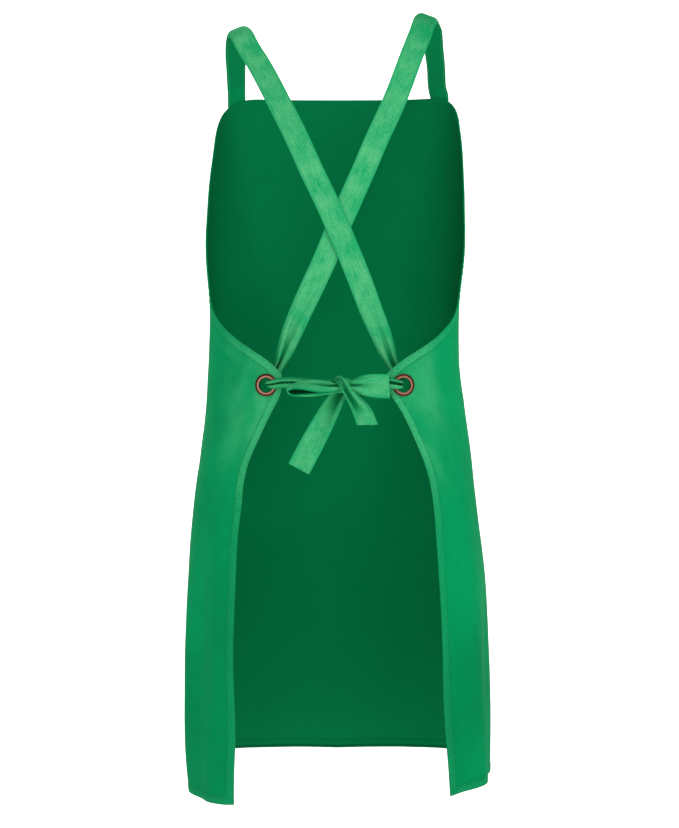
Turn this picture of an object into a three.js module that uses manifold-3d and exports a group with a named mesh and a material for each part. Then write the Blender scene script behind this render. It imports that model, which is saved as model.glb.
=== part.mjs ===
// Cross back apron in cotton drill, in the form that it has when it is worn.
// Millimetres, +Z up. The front of the apron faces -Y, and the wearer's left is +X.
// The origin lies midway between the tops of the two shoulder straps.

import * as THREE from "three";
import { mergeVertices } from "three/addons/utils/BufferGeometryUtils.js";
import Module from "manifold-3d";

const wasm = await Module();
wasm.setup();

// Overall sizes
const PANEL_LENGTH = 860; // from the hem to the bib's top edge
const HIP_HALF_WIDTH = 190; // from the middle to the side of the skirt, worn
const FRONT_DEPTH = 122; // from the middle plane to the front of the cloth at the hip
const BACK_DEPTH = 156; // from the middle plane to the back that the wings lie on
const STRAP_RISE = 84; // from the bib's top edge to the mean height of the straps' tops
const SHOULDER_REACH = 120; // from the middle to a strap where it crosses the shoulder
const BACK_REACH = 118; // from the middle plane to the shoulder blades

// Cloth and hems
const CLOTH = 1.2; // one layer of drill
const HEM_THICKNESS = 2.4; // cloth turned over on itself
const HEM_WIDTH = 10;
const HEM_STEP = 1; // the slope from one layer to the turned hem
const BIB_CORNER_LEFT = 24; // radius of the bib's top corners
const BIB_CORNER_RIGHT = 15;

// Eyelets
const EYELET_HOLE_RADIUS = 8.2;
const EYELET_BARREL_WALL = 0.8;
const EYELET_FLANGE_RADIUS = 13.4;
const EYELET_FLANGE = 1.2; // how far a flange stands off the cloth
const EYELET_DROP = 12.8; // from the wings' top corners down to the eyelets' middles
const EYELET_INSET = 18.5; // from the wing's inner edge to the eyelet's middle
const PRESSED_MARGIN = 14.6; // cloth round the flanges that they press flat
const PRESSED_FADE = 20; // from there to where the cloth has its own form again

// Straps and bow
const STRAP_WIDTH = 28;
const STRAP_THICKNESS = 1.2;
const STRAP_PLEATS = 6; // legs of the zigzag that a gathered strap folds into
const STRAP_FOOT = 42; // length that is sewn to the face of the bib
const FOOT_INSET = 28; // from the side edge at the bib's top to the middle of the strap
const KNOT_WIDTH = 21;
const KNOT_HEIGHT = 19;
const KNOT_DEPTH = 17;
const KNOT_ACROSS = -8; // the knot sits a little to the wearer's right
const KNOT_OUT = 16; // from the wings' face to the middle of the knot
const TIE_BEHIND = 5; // the ties enter the knot this far behind its middle
const LOOP_LEFT_LENGTH = 65;
const LOOP_RIGHT_LENGTH = 54;
const END_LONG_LENGTH = 112;
const END_SHORT_LENGTH = 60;

// Fits and folds
const GAP = 0.3; // between pieces that touch on the real apron
const FOLD_DEPTH = 7; // the deepest soft fold of the wings

// Sections of the worn panel, from the hem up. height is a share of PANEL_LENGTH. left and right are shares of
// HIP_HALF_WIDTH, front of FRONT_DEPTH and back of BACK_DEPTH. roundFront and roundBack are the powers of the
// section's curve: 2 is an ellipse, and more is nearer to a box.
const SECTIONS = [
  { height: 0.0, left: 0.975, right: 0.995, front: 0.985, back: 1.02, roundFront: 2.4, roundBack: 2.6 },
  { height: 0.05, left: 0.995, right: 1.01, front: 0.985, back: 1.015, roundFront: 2.4, roundBack: 2.6 },
  { height: 0.17, left: 1.005, right: 1.0, front: 1.0, back: 1.0, roundFront: 2.4, roundBack: 2.6 },
  { height: 0.29, left: 0.987, right: 0.984, front: 1.0, back: 0.96, roundFront: 2.4, roundBack: 2.6 },
  { height: 0.395, left: 0.926, right: 0.924, front: 0.975, back: 0.905, roundFront: 2.4, roundBack: 2.8 },
  { height: 0.477, left: 0.887, right: 0.887, front: 0.925, back: 0.84, roundFront: 2.4, roundBack: 3.0 },
  { height: 0.547, left: 0.86, right: 0.842, front: 0.875, back: 0.8, roundFront: 2.4, roundBack: 3.2 },
  { height: 0.595, left: 0.842, right: 0.813, front: 0.852, back: 0.79, roundFront: 2.4, roundBack: 3.2 },
  { height: 0.645, left: 0.827, right: 0.8, front: 0.852, back: 0.783, roundFront: 2.4, roundBack: 3.0 },
  { height: 0.698, left: 0.829, right: 0.808, front: 0.885, back: 0.776, roundFront: 2.4, roundBack: 2.8 },
  { height: 0.763, left: 0.853, right: 0.837, front: 0.943, back: 0.77, roundFront: 2.5, roundBack: 2.6 },
  { height: 0.837, left: 0.853, right: 0.842, front: 0.99, back: 0.77, roundFront: 2.7, roundBack: 2.5 },
  { height: 0.919, left: 0.847, right: 0.85, front: 1.016, back: 0.757, roundFront: 2.9, roundBack: 2.5 },
  { height: 1.0, left: 0.842, right: 0.847, front: 0.967, back: 0.72, roundFront: 3.2, roundBack: 2.5 },
];

// Where the cloth ends on each side, as degrees of the section's own angle: 0 is the middle of the front, 90 the
// side and 180 the middle of the back. height is a share of PANEL_LENGTH.
const EDGES = [
  { height: 0.0, left: 143.4, right: 139.2 },
  { height: 0.077, left: 145.8, right: 141.6 },
  { height: 0.195, left: 145.4, right: 143.0 },
  { height: 0.294, left: 146.0, right: 144.2 },
  { height: 0.365, left: 146.5, right: 144.9 },
  { height: 0.41, left: 148.0, right: 145.6 },
  { height: 0.448, left: 149.0, right: 147.5 },
  { height: 0.473, left: 151.2, right: 150.2 },
  { height: 0.502, left: 155.7, right: 154.6 },
  { height: 0.541, left: 162.0, right: 161.0 },
  { height: 0.567, left: 166.0, right: 166.0 },
];
const ARMHOLE = [
  { height: 0.594, left: 166.4, right: 167.6 },
  { height: 0.61, left: 160.8, right: 161.2 },
  { height: 0.625, left: 151.8, right: 151.5 },
  { height: 0.635, left: 144.3, right: 143.5 },
  { height: 0.647, left: 134.8, right: 133.8 },
  { height: 0.657, left: 127.3, right: 126.6 },
  { height: 0.67, left: 118.0, right: 117.0 },
  { height: 0.686, left: 108.8, right: 108.0 },
  { height: 0.705, left: 100.0, right: 101.5 },
  { height: 0.735, left: 95.0, right: 98.0 },
  { height: 0.8, left: 90.2, right: 93.6 },
  { height: 0.86, left: 84.9, right: 89.7 },
  { height: 0.915, left: 77.5, right: 83.0 },
  { height: 0.955, left: 70.5, right: 74.0 },
  { height: 1.0, left: 62.0, right: 64.0 },
];

// Heights over the hem that follow from the sizes and the table
const CORNER_HEIGHT = ARMHOLE[0].height * PANEL_LENGTH; // the wings' top corners
const EYELET_HEIGHT = CORNER_HEIGHT - EYELET_DROP;
const STRAP_TOP_HEIGHT = PANEL_LENGTH + STRAP_RISE;
const PRESSED_RADIUS = EYELET_FLANGE_RADIUS + PRESSED_MARGIN;

// Soft folds of the cloth. along is a share of the way from the middle of the front to the edge, low and high are
// shares of PANEL_LENGTH between which the fold runs, depth is a share of FOLD_DEPTH, and spread is its width as
// a share of the same way.
const FOLDS = [
  { side: 1, along: 0.95, low: -0.5, high: 0.36, depth: 0.55, spread: 0.045 },
  { side: 1, along: 0.84, low: -0.5, high: 0.42, depth: -0.8, spread: 0.05 },
  { side: 1, along: 0.73, low: -0.5, high: 0.34, depth: 0.9, spread: 0.055 },
  { side: 1, along: 0.5, low: -0.5, high: 0.3, depth: -0.5, spread: 0.07 },
  { side: 1, along: 0.3, low: -0.5, high: 0.28, depth: 0.4, spread: 0.08 },
  { side: 1, along: 0.8, low: 0.45, high: 0.58, depth: 0.4, spread: 0.06 },
  { side: -1, along: 0.94, low: -0.5, high: 0.38, depth: -0.5, spread: 0.045 },
  { side: -1, along: 0.82, low: -0.5, high: 0.44, depth: 0.8, spread: 0.05 },
  { side: -1, along: 0.7, low: -0.5, high: 0.32, depth: -0.7, spread: 0.06 },
  { side: -1, along: 0.45, low: -0.5, high: 0.3, depth: 0.45, spread: 0.07 },
  { side: -1, along: 0.25, low: -0.5, high: 0.26, depth: -0.35, spread: 0.08 },
  { side: -1, along: 0.76, low: 0.45, high: 0.58, depth: 0.35, spread: 0.06 },
];

// A strap from the bib's top edge to the wing, a row for each station. across is a share of SHOULDER_REACH, out
// of BACK_REACH (+ is to the back) and up of the way from the eyelets' height to the straps' tops. facing is the
// way its outer side looks: 0 is the front, 90 is up and 180 is the back. tilt turns that side to the wearer's
// left. gather is the share of its width that is left, and over counts the strap thicknesses that it passes over.
const STRAP_LEFT = [
  { across: 1.063, out: -0.825, up: 0.835, facing: 16, tilt: 36, gather: 1, over: 0 },
  { across: 1.057, out: -0.7, up: 0.877, facing: 36, tilt: 32, gather: 1, over: 0 },
  { across: 1.047, out: -0.4, up: 0.932, facing: 56, tilt: 27, gather: 1, over: 0 },
  { across: 1.033, out: -0.18, up: 0.968, facing: 74, tilt: 23, gather: 1, over: 0 },
  { across: 1.01, out: 0.01, up: 0.979, facing: 94, tilt: 20, gather: 1, over: 0 },
  { across: 0.955, out: 0.16, up: 0.958, facing: 114, tilt: 18, gather: 1, over: 0 },
  { across: 0.885, out: 0.28, up: 0.92, facing: 128, tilt: 15, gather: 1, over: 0 },
  { across: 0.795, out: 0.42, up: 0.871, facing: 140, tilt: 12, gather: 1, over: 0 },
  { across: 0.575, out: 0.71, up: 0.757, facing: 156, tilt: 7, gather: 1, over: 0 },
  { across: 0.385, out: 0.89, up: 0.653, facing: 168, tilt: 3, gather: 1, over: 0 },
  { across: 0.233, out: 0.96, up: 0.562, facing: 175, tilt: 0, gather: 1, over: 0.5 },
  { across: 0.1, out: 0.99, up: 0.488, facing: 178, tilt: 0, gather: 1, over: 1 },
  { across: -0.02, out: 1.0, up: 0.416, facing: 180, tilt: 0, gather: 1, over: 1 },
  { across: -0.135, out: 1.0, up: 0.344, facing: 180, tilt: 0, gather: 1, over: 1 },
  { across: -0.245, out: 0.99, up: 0.27, facing: 180, tilt: 0, gather: 1, over: 0.5 },
  { across: -0.345, out: 0.98, up: 0.198, facing: 180, tilt: 0, gather: 0.97, over: 0 },
  { across: -0.43, out: 0.965, up: 0.143, facing: 180, tilt: 0, gather: 0.86, over: 0 },
  { across: -0.505, out: 0.945, up: 0.09, facing: 180, tilt: 0, gather: 0.68, over: 0 },
  { across: -0.57, out: 0.925, up: 0.05, facing: 180, tilt: 0, gather: 0.52, over: 0 },
];
const STRAP_RIGHT = [
  { across: -1.11, out: -0.82, up: 0.835, facing: 14, tilt: -36, gather: 1, over: 0 },
  { across: -1.09, out: -0.7, up: 0.884, facing: 34, tilt: -32, gather: 1, over: 0 },
  { across: -1.045, out: -0.42, up: 0.949, facing: 54, tilt: -27, gather: 1, over: 0 },
  { across: -1.01, out: -0.19, up: 1, facing: 74, tilt: -22, gather: 1, over: 0 },
  { across: -0.975, out: 0.0, up: 1.015, facing: 94, tilt: -20, gather: 1, over: 0 },
  { across: -0.93, out: 0.15, up: 0.996, facing: 114, tilt: -17, gather: 1, over: 0 },
  { across: -0.88, out: 0.27, up: 0.958, facing: 128, tilt: -15, gather: 1, over: 0 },
  { across: -0.8, out: 0.42, up: 0.903, facing: 140, tilt: -12, gather: 1, over: 0 },
  { across: -0.575, out: 0.71, up: 0.757, facing: 156, tilt: -7, gather: 1, over: 0 },
  { across: -0.4, out: 0.88, up: 0.653, facing: 168, tilt: -3, gather: 1, over: 0 },
  { across: -0.265, out: 0.95, up: 0.568, facing: 175, tilt: 0, gather: 1, over: 0 },
  { across: -0.14, out: 0.985, up: 0.492, facing: 178, tilt: 0, gather: 1, over: 0 },
  { across: -0.017, out: 0.99, up: 0.418, facing: 180, tilt: 0, gather: 1, over: 0 },
  { across: 0.117, out: 0.99, up: 0.331, facing: 180, tilt: 0, gather: 1, over: 0 },
  { across: 0.235, out: 0.985, up: 0.263, facing: 180, tilt: 0, gather: 1, over: 0 },
  { across: 0.35, out: 0.98, up: 0.196, facing: 180, tilt: 0, gather: 0.95, over: 0 },
  { across: 0.435, out: 0.965, up: 0.143, facing: 180, tilt: 0, gather: 0.82, over: 0 },
  { across: 0.51, out: 0.945, up: 0.09, facing: 180, tilt: 0, gather: 0.66, over: 0 },
  { across: 0.575, out: 0.925, up: 0.05, facing: 180, tilt: 0, gather: 0.52, over: 0 },
];

// A gathered strap through its eyelet and on to the knot. The lengths are shares of EYELET_FLANGE_RADIUS, taken
// from the eyelet's middle: inward goes towards the knot, out along the eyelet's axis and up along the wing.
// turn is how far its outer side looks away from the eyelet's axis, away from the knot.
const THROUGH_EYELET = [
  { inward: -0.16, out: -0.72, up: 0.36, turn: 25, gather: 0.4 },
  { inward: -0.2, out: -0.42, up: 0.0, turn: 60, gather: 0.36 },
  { inward: -0.06, out: 0.0, up: -0.03, turn: 62, gather: 0.35 },
  { inward: 0.12, out: 0.37, up: -0.02, turn: 52, gather: 0.36 },
  { inward: 0.55, out: 0.62, up: 0.02, turn: 22, gather: 0.38 },
  { inward: 1.5, out: 0.6, up: 0.08, turn: 5, gather: 0.41 },
];

// The bow, from the middle of the knot. along is a share of the piece's length in the way that it leaves the
// knot, out is towards the back and up is up, both as shares of STRAP_WIDTH.
const LOOP_LEFT = [
  { along: 0.02, out: 0.02, up: 0.12, facing: 108, tilt: 0, gather: 0.36 },
  { along: 0.07, out: 0.06, up: 0.13, facing: 108, tilt: 0, gather: 0.36 },
  { along: 0.13, out: 0.22, up: 0.15, facing: 108, tilt: 0, gather: 0.42 },
  { along: 0.26, out: 0.46, up: 0.18, facing: 107, tilt: 0, gather: 0.54 },
  { along: 0.48, out: 0.62, up: 0.14, facing: 106, tilt: 0, gather: 0.78 },
  { along: 0.76, out: 0.72, up: 0.06, facing: 104, tilt: 0, gather: 0.88 },
  { along: 0.93, out: 0.74, up: -0.04, facing: 100, tilt: 35, gather: 0.9 },
  { along: 1.0, out: 0.74, up: -0.22, facing: 100, tilt: 90, gather: 0.9 },
  { along: 0.93, out: 0.74, up: -0.42, facing: 100, tilt: 150, gather: 0.9 },
  { along: 0.76, out: 0.72, up: -0.53, facing: 102, tilt: 180, gather: 0.88 },
  { along: 0.48, out: 0.62, up: -0.45, facing: 100, tilt: 180, gather: 0.78 },
  { along: 0.26, out: 0.46, up: -0.26, facing: 98, tilt: 180, gather: 0.54 },
  { along: 0.13, out: 0.24, up: -0.2, facing: 98, tilt: 180, gather: 0.42 },
  { along: 0.07, out: 0.04, up: -0.18, facing: 98, tilt: 180, gather: 0.36 },
  { along: 0.02, out: 0.02, up: -0.17, facing: 98, tilt: 180, gather: 0.36 },
];
const LOOP_RIGHT = [
  { along: 0.02, out: 0.16, up: 0.04, facing: 180, tilt: 0, gather: 0.5 },
  { along: 0.12, out: 0.24, up: 0.05, facing: 180, tilt: 0, gather: 0.52 },
  { along: 0.22, out: 0.33, up: 0.03, facing: 180, tilt: 0, gather: 0.58 },
  { along: 0.45, out: 0.34, up: 0.0, facing: 180, tilt: 0, gather: 0.76 },
  { along: 0.72, out: 0.34, up: -0.07, facing: 180, tilt: 0, gather: 0.9 },
  { along: 0.93, out: 0.32, up: -0.1, facing: 180, tilt: -20, gather: 0.93 },
  { along: 1.0, out: 0.22, up: -0.12, facing: 180, tilt: -90, gather: 0.93 },
  { along: 0.93, out: 0.12, up: -0.15, facing: 180, tilt: -160, gather: 0.93 },
  { along: 0.72, out: 0.09, up: -0.13, facing: 180, tilt: -180, gather: 0.9 },
  { along: 0.45, out: 0.09, up: -0.06, facing: 180, tilt: -180, gather: 0.76 },
  { along: 0.22, out: 0.06, up: -0.02, facing: 180, tilt: -180, gather: 0.58 },
  { along: 0.12, out: -0.02, up: 0.0, facing: 180, tilt: -180, gather: 0.54 },
  { along: 0.02, out: -0.1, up: 0.01, facing: 180, tilt: -180, gather: 0.52 },
];
const END_LONG = [
  { along: 0.03, out: -0.04, side: 0.0, facing: 180, tilt: 0, gather: 0.36 },
  { along: 0.11, out: -0.02, side: 0.03, facing: 180, tilt: 8, gather: 0.48 },
  { along: 0.25, out: 0.06, side: 0.13, facing: 180, tilt: 16, gather: 0.72 },
  { along: 0.45, out: 0.16, side: 0.25, facing: 180, tilt: 14, gather: 0.88 },
  { along: 0.7, out: 0.18, side: 0.38, facing: 180, tilt: 8, gather: 0.95 },
  { along: 0.9, out: 0.16, side: 0.48, facing: 180, tilt: 0, gather: 0.97 },
];
const END_SHORT = [
  { along: 0.04, out: 0.18, side: -0.01, facing: 170, tilt: 0, gather: 0.38 },
  { along: 0.2, out: 0.5, side: -0.06, facing: 166, tilt: -8, gather: 0.46 },
  { along: 0.36, out: 0.56, side: -0.21, facing: 178, tilt: -16, gather: 0.6 },
  { along: 0.56, out: 0.52, side: -0.37, facing: 184, tilt: -20, gather: 0.76 },
  { along: 0.75, out: 0.42, side: -0.5, facing: 182, tilt: -20, gather: 0.84 },
  { along: 0.9, out: 0.36, side: -0.56, facing: 180, tilt: -20, gather: 0.86 },
];

// Materials
const drill = new THREE.MeshStandardMaterial({ color: 0x148a52, roughness: 0.9, side: THREE.DoubleSide });
const webbing = new THREE.MeshStandardMaterial({ color: 0x4bb478, roughness: 0.85 });
const copper = new THREE.MeshStandardMaterial({ color: 0x9a5a40, roughness: 0.35, metalness: 1 });

const X = new THREE.Vector3(1, 0, 0);
const radians = THREE.MathUtils.degToRad;
const smooth = THREE.MathUtils.smoothstep;

// A closed geometry from vertices and triangles, turned so that its faces point out.
function closedGeometry(points, triangles) {
  let volume = 0;
  for (const [a, b, c] of triangles) {
    volume += points[a].dot(new THREE.Vector3().crossVectors(points[b], points[c]));
  }
  const facing = volume < 0 ? triangles.map(([a, b, c]) => [a, c, b]) : triangles;
  const geometry = new THREE.BufferGeometry().setFromPoints(points);
  geometry.setIndex(facing.flat());
  geometry.computeVertexNormals();
  return geometry;
}

// The same geometry as a solid that can be joined and cut, and back again.
function toSolid(geometry) {
  const bare = geometry.clone();
  bare.deleteAttribute("normal");
  bare.deleteAttribute("uv");
  const merged = mergeVertices(bare, 1e-3);
  const vertProperties = merged.attributes.position.array;
  const triVerts = new Uint32Array(merged.index.array);
  return new wasm.Manifold(new wasm.Mesh({ numProp: 3, vertProperties, triVerts }));
}

const WELD = 0.02; // a cut leaves slivers finer than this, which are welded shut
function toGeometry(solid) {
  const mesh = solid.getMesh();
  const raw = new THREE.BufferGeometry();
  raw.setAttribute("position", new THREE.BufferAttribute(mesh.vertProperties, 3));
  raw.setIndex(new THREE.BufferAttribute(mesh.triVerts, 1));
  const geometry = mergeVertices(raw, WELD);
  const corners = geometry.index.array;
  const kept = [];
  for (let i = 0; i < corners.length; i += 3) {
    const [a, b, c] = corners.slice(i, i + 3);
    if (a !== b && b !== c && c !== a) {
      kept.push(a, b, c);
    }
  }
  geometry.setIndex(kept);
  geometry.computeVertexNormals();
  return geometry;
}

// A smooth curve through one column of a table, where place counts the rows.
function column(rows, name, place) {
  const row = Math.min(Math.floor(place), rows.length - 2);
  const at = (i) => rows[THREE.MathUtils.clamp(i, 0, rows.length - 1)][name];
  const t = place - row;
  const [a, b, c, d] = [at(row - 1), at(row), at(row + 1), at(row + 2)];
  const bend = t * (2 * a - 5 * b + 4 * c - d + t * (3 * (b - c) + d - a));
  return b + 0.5 * t * (c - a + bend);
}

// The place in a table of a height that its height column passes.
function placeOf(rows, height) {
  let row = 0;
  while (row < rows.length - 2 && rows[row + 1].height < height) {
    row += 1;
  }
  const span = rows[row + 1].height - rows[row].height;
  return row + THREE.MathUtils.clamp((height - rows[row].height) / span, 0, 1);
}

// The angle at which the cloth ends on a side, straight from row to row.
function edgeAngle(side, height) {
  const rows = height < ARMHOLE[0].height ? [...EDGES, ARMHOLE[0]] : ARMHOLE;
  const place = placeOf(rows, height);
  const row = Math.min(Math.floor(place), rows.length - 2);
  const name = side > 0 ? "left" : "right";
  return THREE.MathUtils.lerp(rows[row][name], rows[row + 1][name], place - row);
}

// Half a level section as a path from the middle of the front round to the cloth's edge, with the length of the
// path at each of its points.
const SECTION_STEPS = 160;
const pathsMade = new Map();
function sectionPath(side, z) {
  const key = side * (z + PANEL_LENGTH);
  if (pathsMade.has(key)) {
    return pathsMade.get(key);
  }
  const height = z / PANEL_LENGTH;
  const place = placeOf(SECTIONS, height);
  const halfWidth = column(SECTIONS, side > 0 ? "left" : "right", place) * HIP_HALF_WIDTH;
  const front = column(SECTIONS, "front", place) * FRONT_DEPTH;
  const back = column(SECTIONS, "back", place) * BACK_DEPTH;
  const roundFront = column(SECTIONS, "roundFront", place);
  const roundBack = column(SECTIONS, "roundBack", place);
  const end = radians(edgeAngle(side, height));
  const points = [];
  const lengths = [0];
  for (let i = 0; i <= SECTION_STEPS; i += 1) {
    const angle = (end * i) / SECTION_STEPS;
    const power = 2 / (angle < Math.PI / 2 ? roundFront : roundBack);
    const depth = angle < Math.PI / 2 ? -front : back;
    const x = side * halfWidth * Math.sin(angle) ** power;
    const y = depth * Math.abs(Math.cos(angle)) ** power;
    points.push(new THREE.Vector3(x, y, z));
    if (i > 0) {
      lengths.push(lengths[i - 1] + points[i].distanceTo(points[i - 1]));
    }
  }
  const path = { points, lengths };
  pathsMade.set(key, path);
  return path;
}

// The length of cloth in a row from the middle to its edge, less the round of the bib's corner.
function halfLength(side, z) {
  const whole = sectionPath(side, z).lengths[SECTION_STEPS];
  const radius = side > 0 ? BIB_CORNER_LEFT : BIB_CORNER_RIGHT;
  const rise = z - (PANEL_LENGTH - radius);
  return rise > 0 ? whole - radius + Math.sqrt(Math.max(radius * radius - rise * rise, 0)) : whole;
}

// A point of the unfolded form, with the way that it faces in plan, at a length of cloth from the middle.
function formPoint(side, z, length) {
  const { points, lengths } = sectionPath(side, z);
  let i = 1;
  while (i < SECTION_STEPS && lengths[i] < length) {
    i += 1;
  }
  const t = (length - lengths[i - 1]) / (lengths[i] - lengths[i - 1]);
  const along = points[i].clone().sub(points[i - 1]);
  const point = points[i - 1].clone().addScaledVector(along, t);
  const facing = new THREE.Vector3(side * along.y, -side * along.x, 0).normalize();
  return { point, facing };
}

// How far the folds move a point along the way that it faces.
function foldDepth(side, share, height) {
  let depth = 0;
  for (const fold of FOLDS) {
    const reach = smooth(height, fold.low, fold.low + 0.1) * (1 - smooth(height, fold.high - 0.26, fold.high));
    const near = Math.exp(-(((share - fold.along) / fold.spread) ** 2));
    depth += fold.side === side ? fold.depth * FOLD_DEPTH * reach * near : 0;
  }
  return depth;
}

// The middle of each eyelet, on the cloth, with its axis, and the ways that go inward and up from there.
function eyeletFrame(side) {
  const length = halfLength(side, EYELET_HEIGHT) - EYELET_INSET;
  const { point } = formPoint(side, EYELET_HEIGHT, length);
  const beyond = formPoint(side, EYELET_HEIGHT, length + PRESSED_RADIUS / 2).point;
  const before = formPoint(side, EYELET_HEIGHT, length - PRESSED_RADIUS / 2).point;
  const over = formPoint(side, EYELET_HEIGHT + PRESSED_RADIUS / 2, length).point;
  const under = formPoint(side, EYELET_HEIGHT - PRESSED_RADIUS / 2, length).point;
  const inward = beyond.sub(before).normalize();
  const rising = over.sub(under).normalize();
  const axis = new THREE.Vector3().crossVectors(inward, rising).multiplyScalar(-side).normalize();
  const up = new THREE.Vector3().crossVectors(inward, axis).multiplyScalar(side).normalize();
  return { point, inward, axis: axis.y < 0 ? axis.negate() : axis, up: up.z < 0 ? up.negate() : up };
}

const EYELETS = { 1: eyeletFrame(1), [-1]: eyeletFrame(-1) };

// How much the eyelet presses the cloth at a point: 1 under the flanges and 0 away from them.
function pressedAt(side, point) {
  return 1 - smooth(point.distanceTo(EYELETS[side].point), PRESSED_RADIUS, PRESSED_RADIUS + PRESSED_FADE);
}

// The middle of the cloth at a share of a half row, with folds, and flat where an eyelet presses it.
function clothPoint(side, z, length) {
  const { point, facing } = formPoint(side, z, length);
  const pressed = pressedAt(side, point);
  const fold = foldDepth(side, length / halfLength(side, z), z / PANEL_LENGTH);
  point.addScaledVector(facing, fold * (1 - pressed));
  const { point: middle, axis } = EYELETS[side];
  const proud = point.clone().sub(middle).dot(axis);
  return point.addScaledVector(axis, -proud * pressed);
}

// Heights of the panel's rows and lengths of its columns, closer where a hem, a corner or a curve needs them.
const FRONT_COLUMNS = 6;
const WING_COLUMNS = 10;
const FRONT_SHARE = 0.62; // of a half row lies before the closer columns
function panelHeights() {
  const corner = CORNER_HEIGHT;
  const side = 0.72 * PANEL_LENGTH;
  const belowEyelet = EYELET_HEIGHT - 1.1 * EYELET_FLANGE_RADIUS;
  const stretches = [
    { from: 0, to: HEM_WIDTH, rows: 1 },
    { from: HEM_WIDTH, to: HEM_WIDTH + HEM_STEP, rows: 1 },
    { from: HEM_WIDTH + HEM_STEP, to: belowEyelet, rows: 10 },
    { from: belowEyelet, to: EYELET_HEIGHT, rows: 1 },
    { from: EYELET_HEIGHT, to: corner, rows: 1 },
    { from: corner, to: side, rows: 7 },
    { from: side, to: PANEL_LENGTH - BIB_CORNER_LEFT, rows: 5 },
    { from: PANEL_LENGTH - BIB_CORNER_LEFT, to: PANEL_LENGTH - HEM_WIDTH - HEM_STEP, rows: 1 },
    { from: PANEL_LENGTH - HEM_WIDTH - HEM_STEP, to: PANEL_LENGTH - HEM_WIDTH, rows: 1 },
    { from: PANEL_LENGTH - HEM_WIDTH, to: PANEL_LENGTH, rows: 2 },
  ];
  const heights = [0];
  for (const { from, to, rows } of stretches) {
    for (let i = 1; i <= rows; i += 1) {
      heights.push(from + ((to - from) * i) / rows);
    }
  }
  return heights;
}

// The hem's width along a row, wider where the edge runs across the row.
function hemAlongRow(side, z) {
  const corner = CORNER_HEIGHT;
  const low = z < corner ? z - HEM_WIDTH / 2 : Math.max(z - HEM_WIDTH / 2, corner);
  const high = z < corner ? Math.min(z + HEM_WIDTH / 2, corner) : z + HEM_WIDTH / 2;
  const from = Math.max(low, 0);
  const to = Math.min(high, PANEL_LENGTH - BIB_CORNER_LEFT);
  if (to - from < 1) {
    return HEM_WIDTH;
  }
  const slope = (halfLength(side, to) - halfLength(side, from)) / (to - from);
  return Math.min(HEM_WIDTH * Math.hypot(1, slope), 3 * HEM_WIDTH);
}

function rowLengths(side, z) {
  const whole = halfLength(side, z);
  const hem = hemAlongRow(side, z);
  const inner = whole - hem - HEM_STEP;
  const lengths = [];
  for (let i = 0; i < FRONT_COLUMNS; i += 1) {
    lengths.push({ length: (inner * FRONT_SHARE * i) / FRONT_COLUMNS, hem: false });
  }
  for (let i = 0; i <= WING_COLUMNS; i += 1) {
    const share = FRONT_SHARE + ((1 - FRONT_SHARE) * i) / WING_COLUMNS;
    lengths.push({ length: inner * share, hem: false });
  }
  lengths.push({ length: inner + HEM_STEP, hem: true });
  lengths.push({ length: whole, hem: true });
  return lengths;
}

function makePanel() {
  const heights = panelHeights();
  const grid = heights.map((z) => {
    const hemRow = z <= HEM_WIDTH || z >= PANEL_LENGTH - HEM_WIDTH;
    const half = (side) => rowLengths(side, z).map(({ length, hem }) => {
      const point = clothPoint(side, z, length);
      const thick = hem || hemRow ? HEM_THICKNESS : CLOTH;
      const pressed = THREE.MathUtils.lerp(thick, HEM_THICKNESS, pressedAt(side, point));
      return { point, thickness: Math.max(thick, pressed) };
    });
    const right = half(-1);
    right.shift();
    return [...right.reverse(), ...half(1)];
  });
  const rows = grid.length;
  const columns = grid[0].length;
  const at = (r, c) => {
    const row = THREE.MathUtils.clamp(r, 0, rows - 1);
    return grid[row][THREE.MathUtils.clamp(c, 0, columns - 1)].point;
  };
  const points = [];
  for (const sign of [1, -1]) {
    for (let r = 0; r < rows; r += 1) {
      for (let c = 0; c < columns; c += 1) {
        const across = at(r, c + 1).clone().sub(at(r, c - 1));
        const rising = at(r + 1, c).clone().sub(at(r - 1, c));
        const normal = across.cross(rising).normalize();
        const offset = (sign * grid[r][c].thickness) / 2;
        points.push(at(r, c).clone().addScaledVector(normal, offset));
      }
    }
  }
  const back = rows * columns;
  const index = (layer, r, c) => layer * back + r * columns + c;
  const triangles = [];
  const quad = (a, b, c, d) => triangles.push([a, b, c], [a, c, d]);
  for (let r = 0; r < rows - 1; r += 1) {
    for (let c = 0; c < columns - 1; c += 1) {
      quad(index(0, r, c), index(0, r, c + 1), index(0, r + 1, c + 1), index(0, r + 1, c));
      quad(index(1, r, c), index(1, r + 1, c), index(1, r + 1, c + 1), index(1, r, c + 1));
    }
    const last = columns - 1;
    quad(index(0, r, 0), index(0, r + 1, 0), index(1, r + 1, 0), index(1, r, 0));
    quad(index(0, r, last), index(1, r, last), index(1, r + 1, last), index(0, r + 1, last));
  }
  for (let c = 0; c < columns - 1; c += 1) {
    const last = rows - 1;
    quad(index(0, 0, c), index(1, 0, c), index(1, 0, c + 1), index(0, 0, c + 1));
    quad(index(0, last, c), index(0, last, c + 1), index(1, last, c + 1), index(1, last, c));
  }
  let cloth = toSolid(closedGeometry(points, triangles));
  for (const side of [1, -1]) {
    cloth = cloth.subtract(toSolid(eyeletHole(side)));
  }
  return toGeometry(cloth);
}

// A turned shape set on an eyelet's axis.
function onEyeletAxis(geometry, side) {
  const { point, axis } = EYELETS[side];
  const turn = new THREE.Quaternion().setFromUnitVectors(new THREE.Vector3(0, 1, 0), axis);
  return geometry.applyQuaternion(turn).translate(point.x, point.y, point.z);
}

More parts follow.
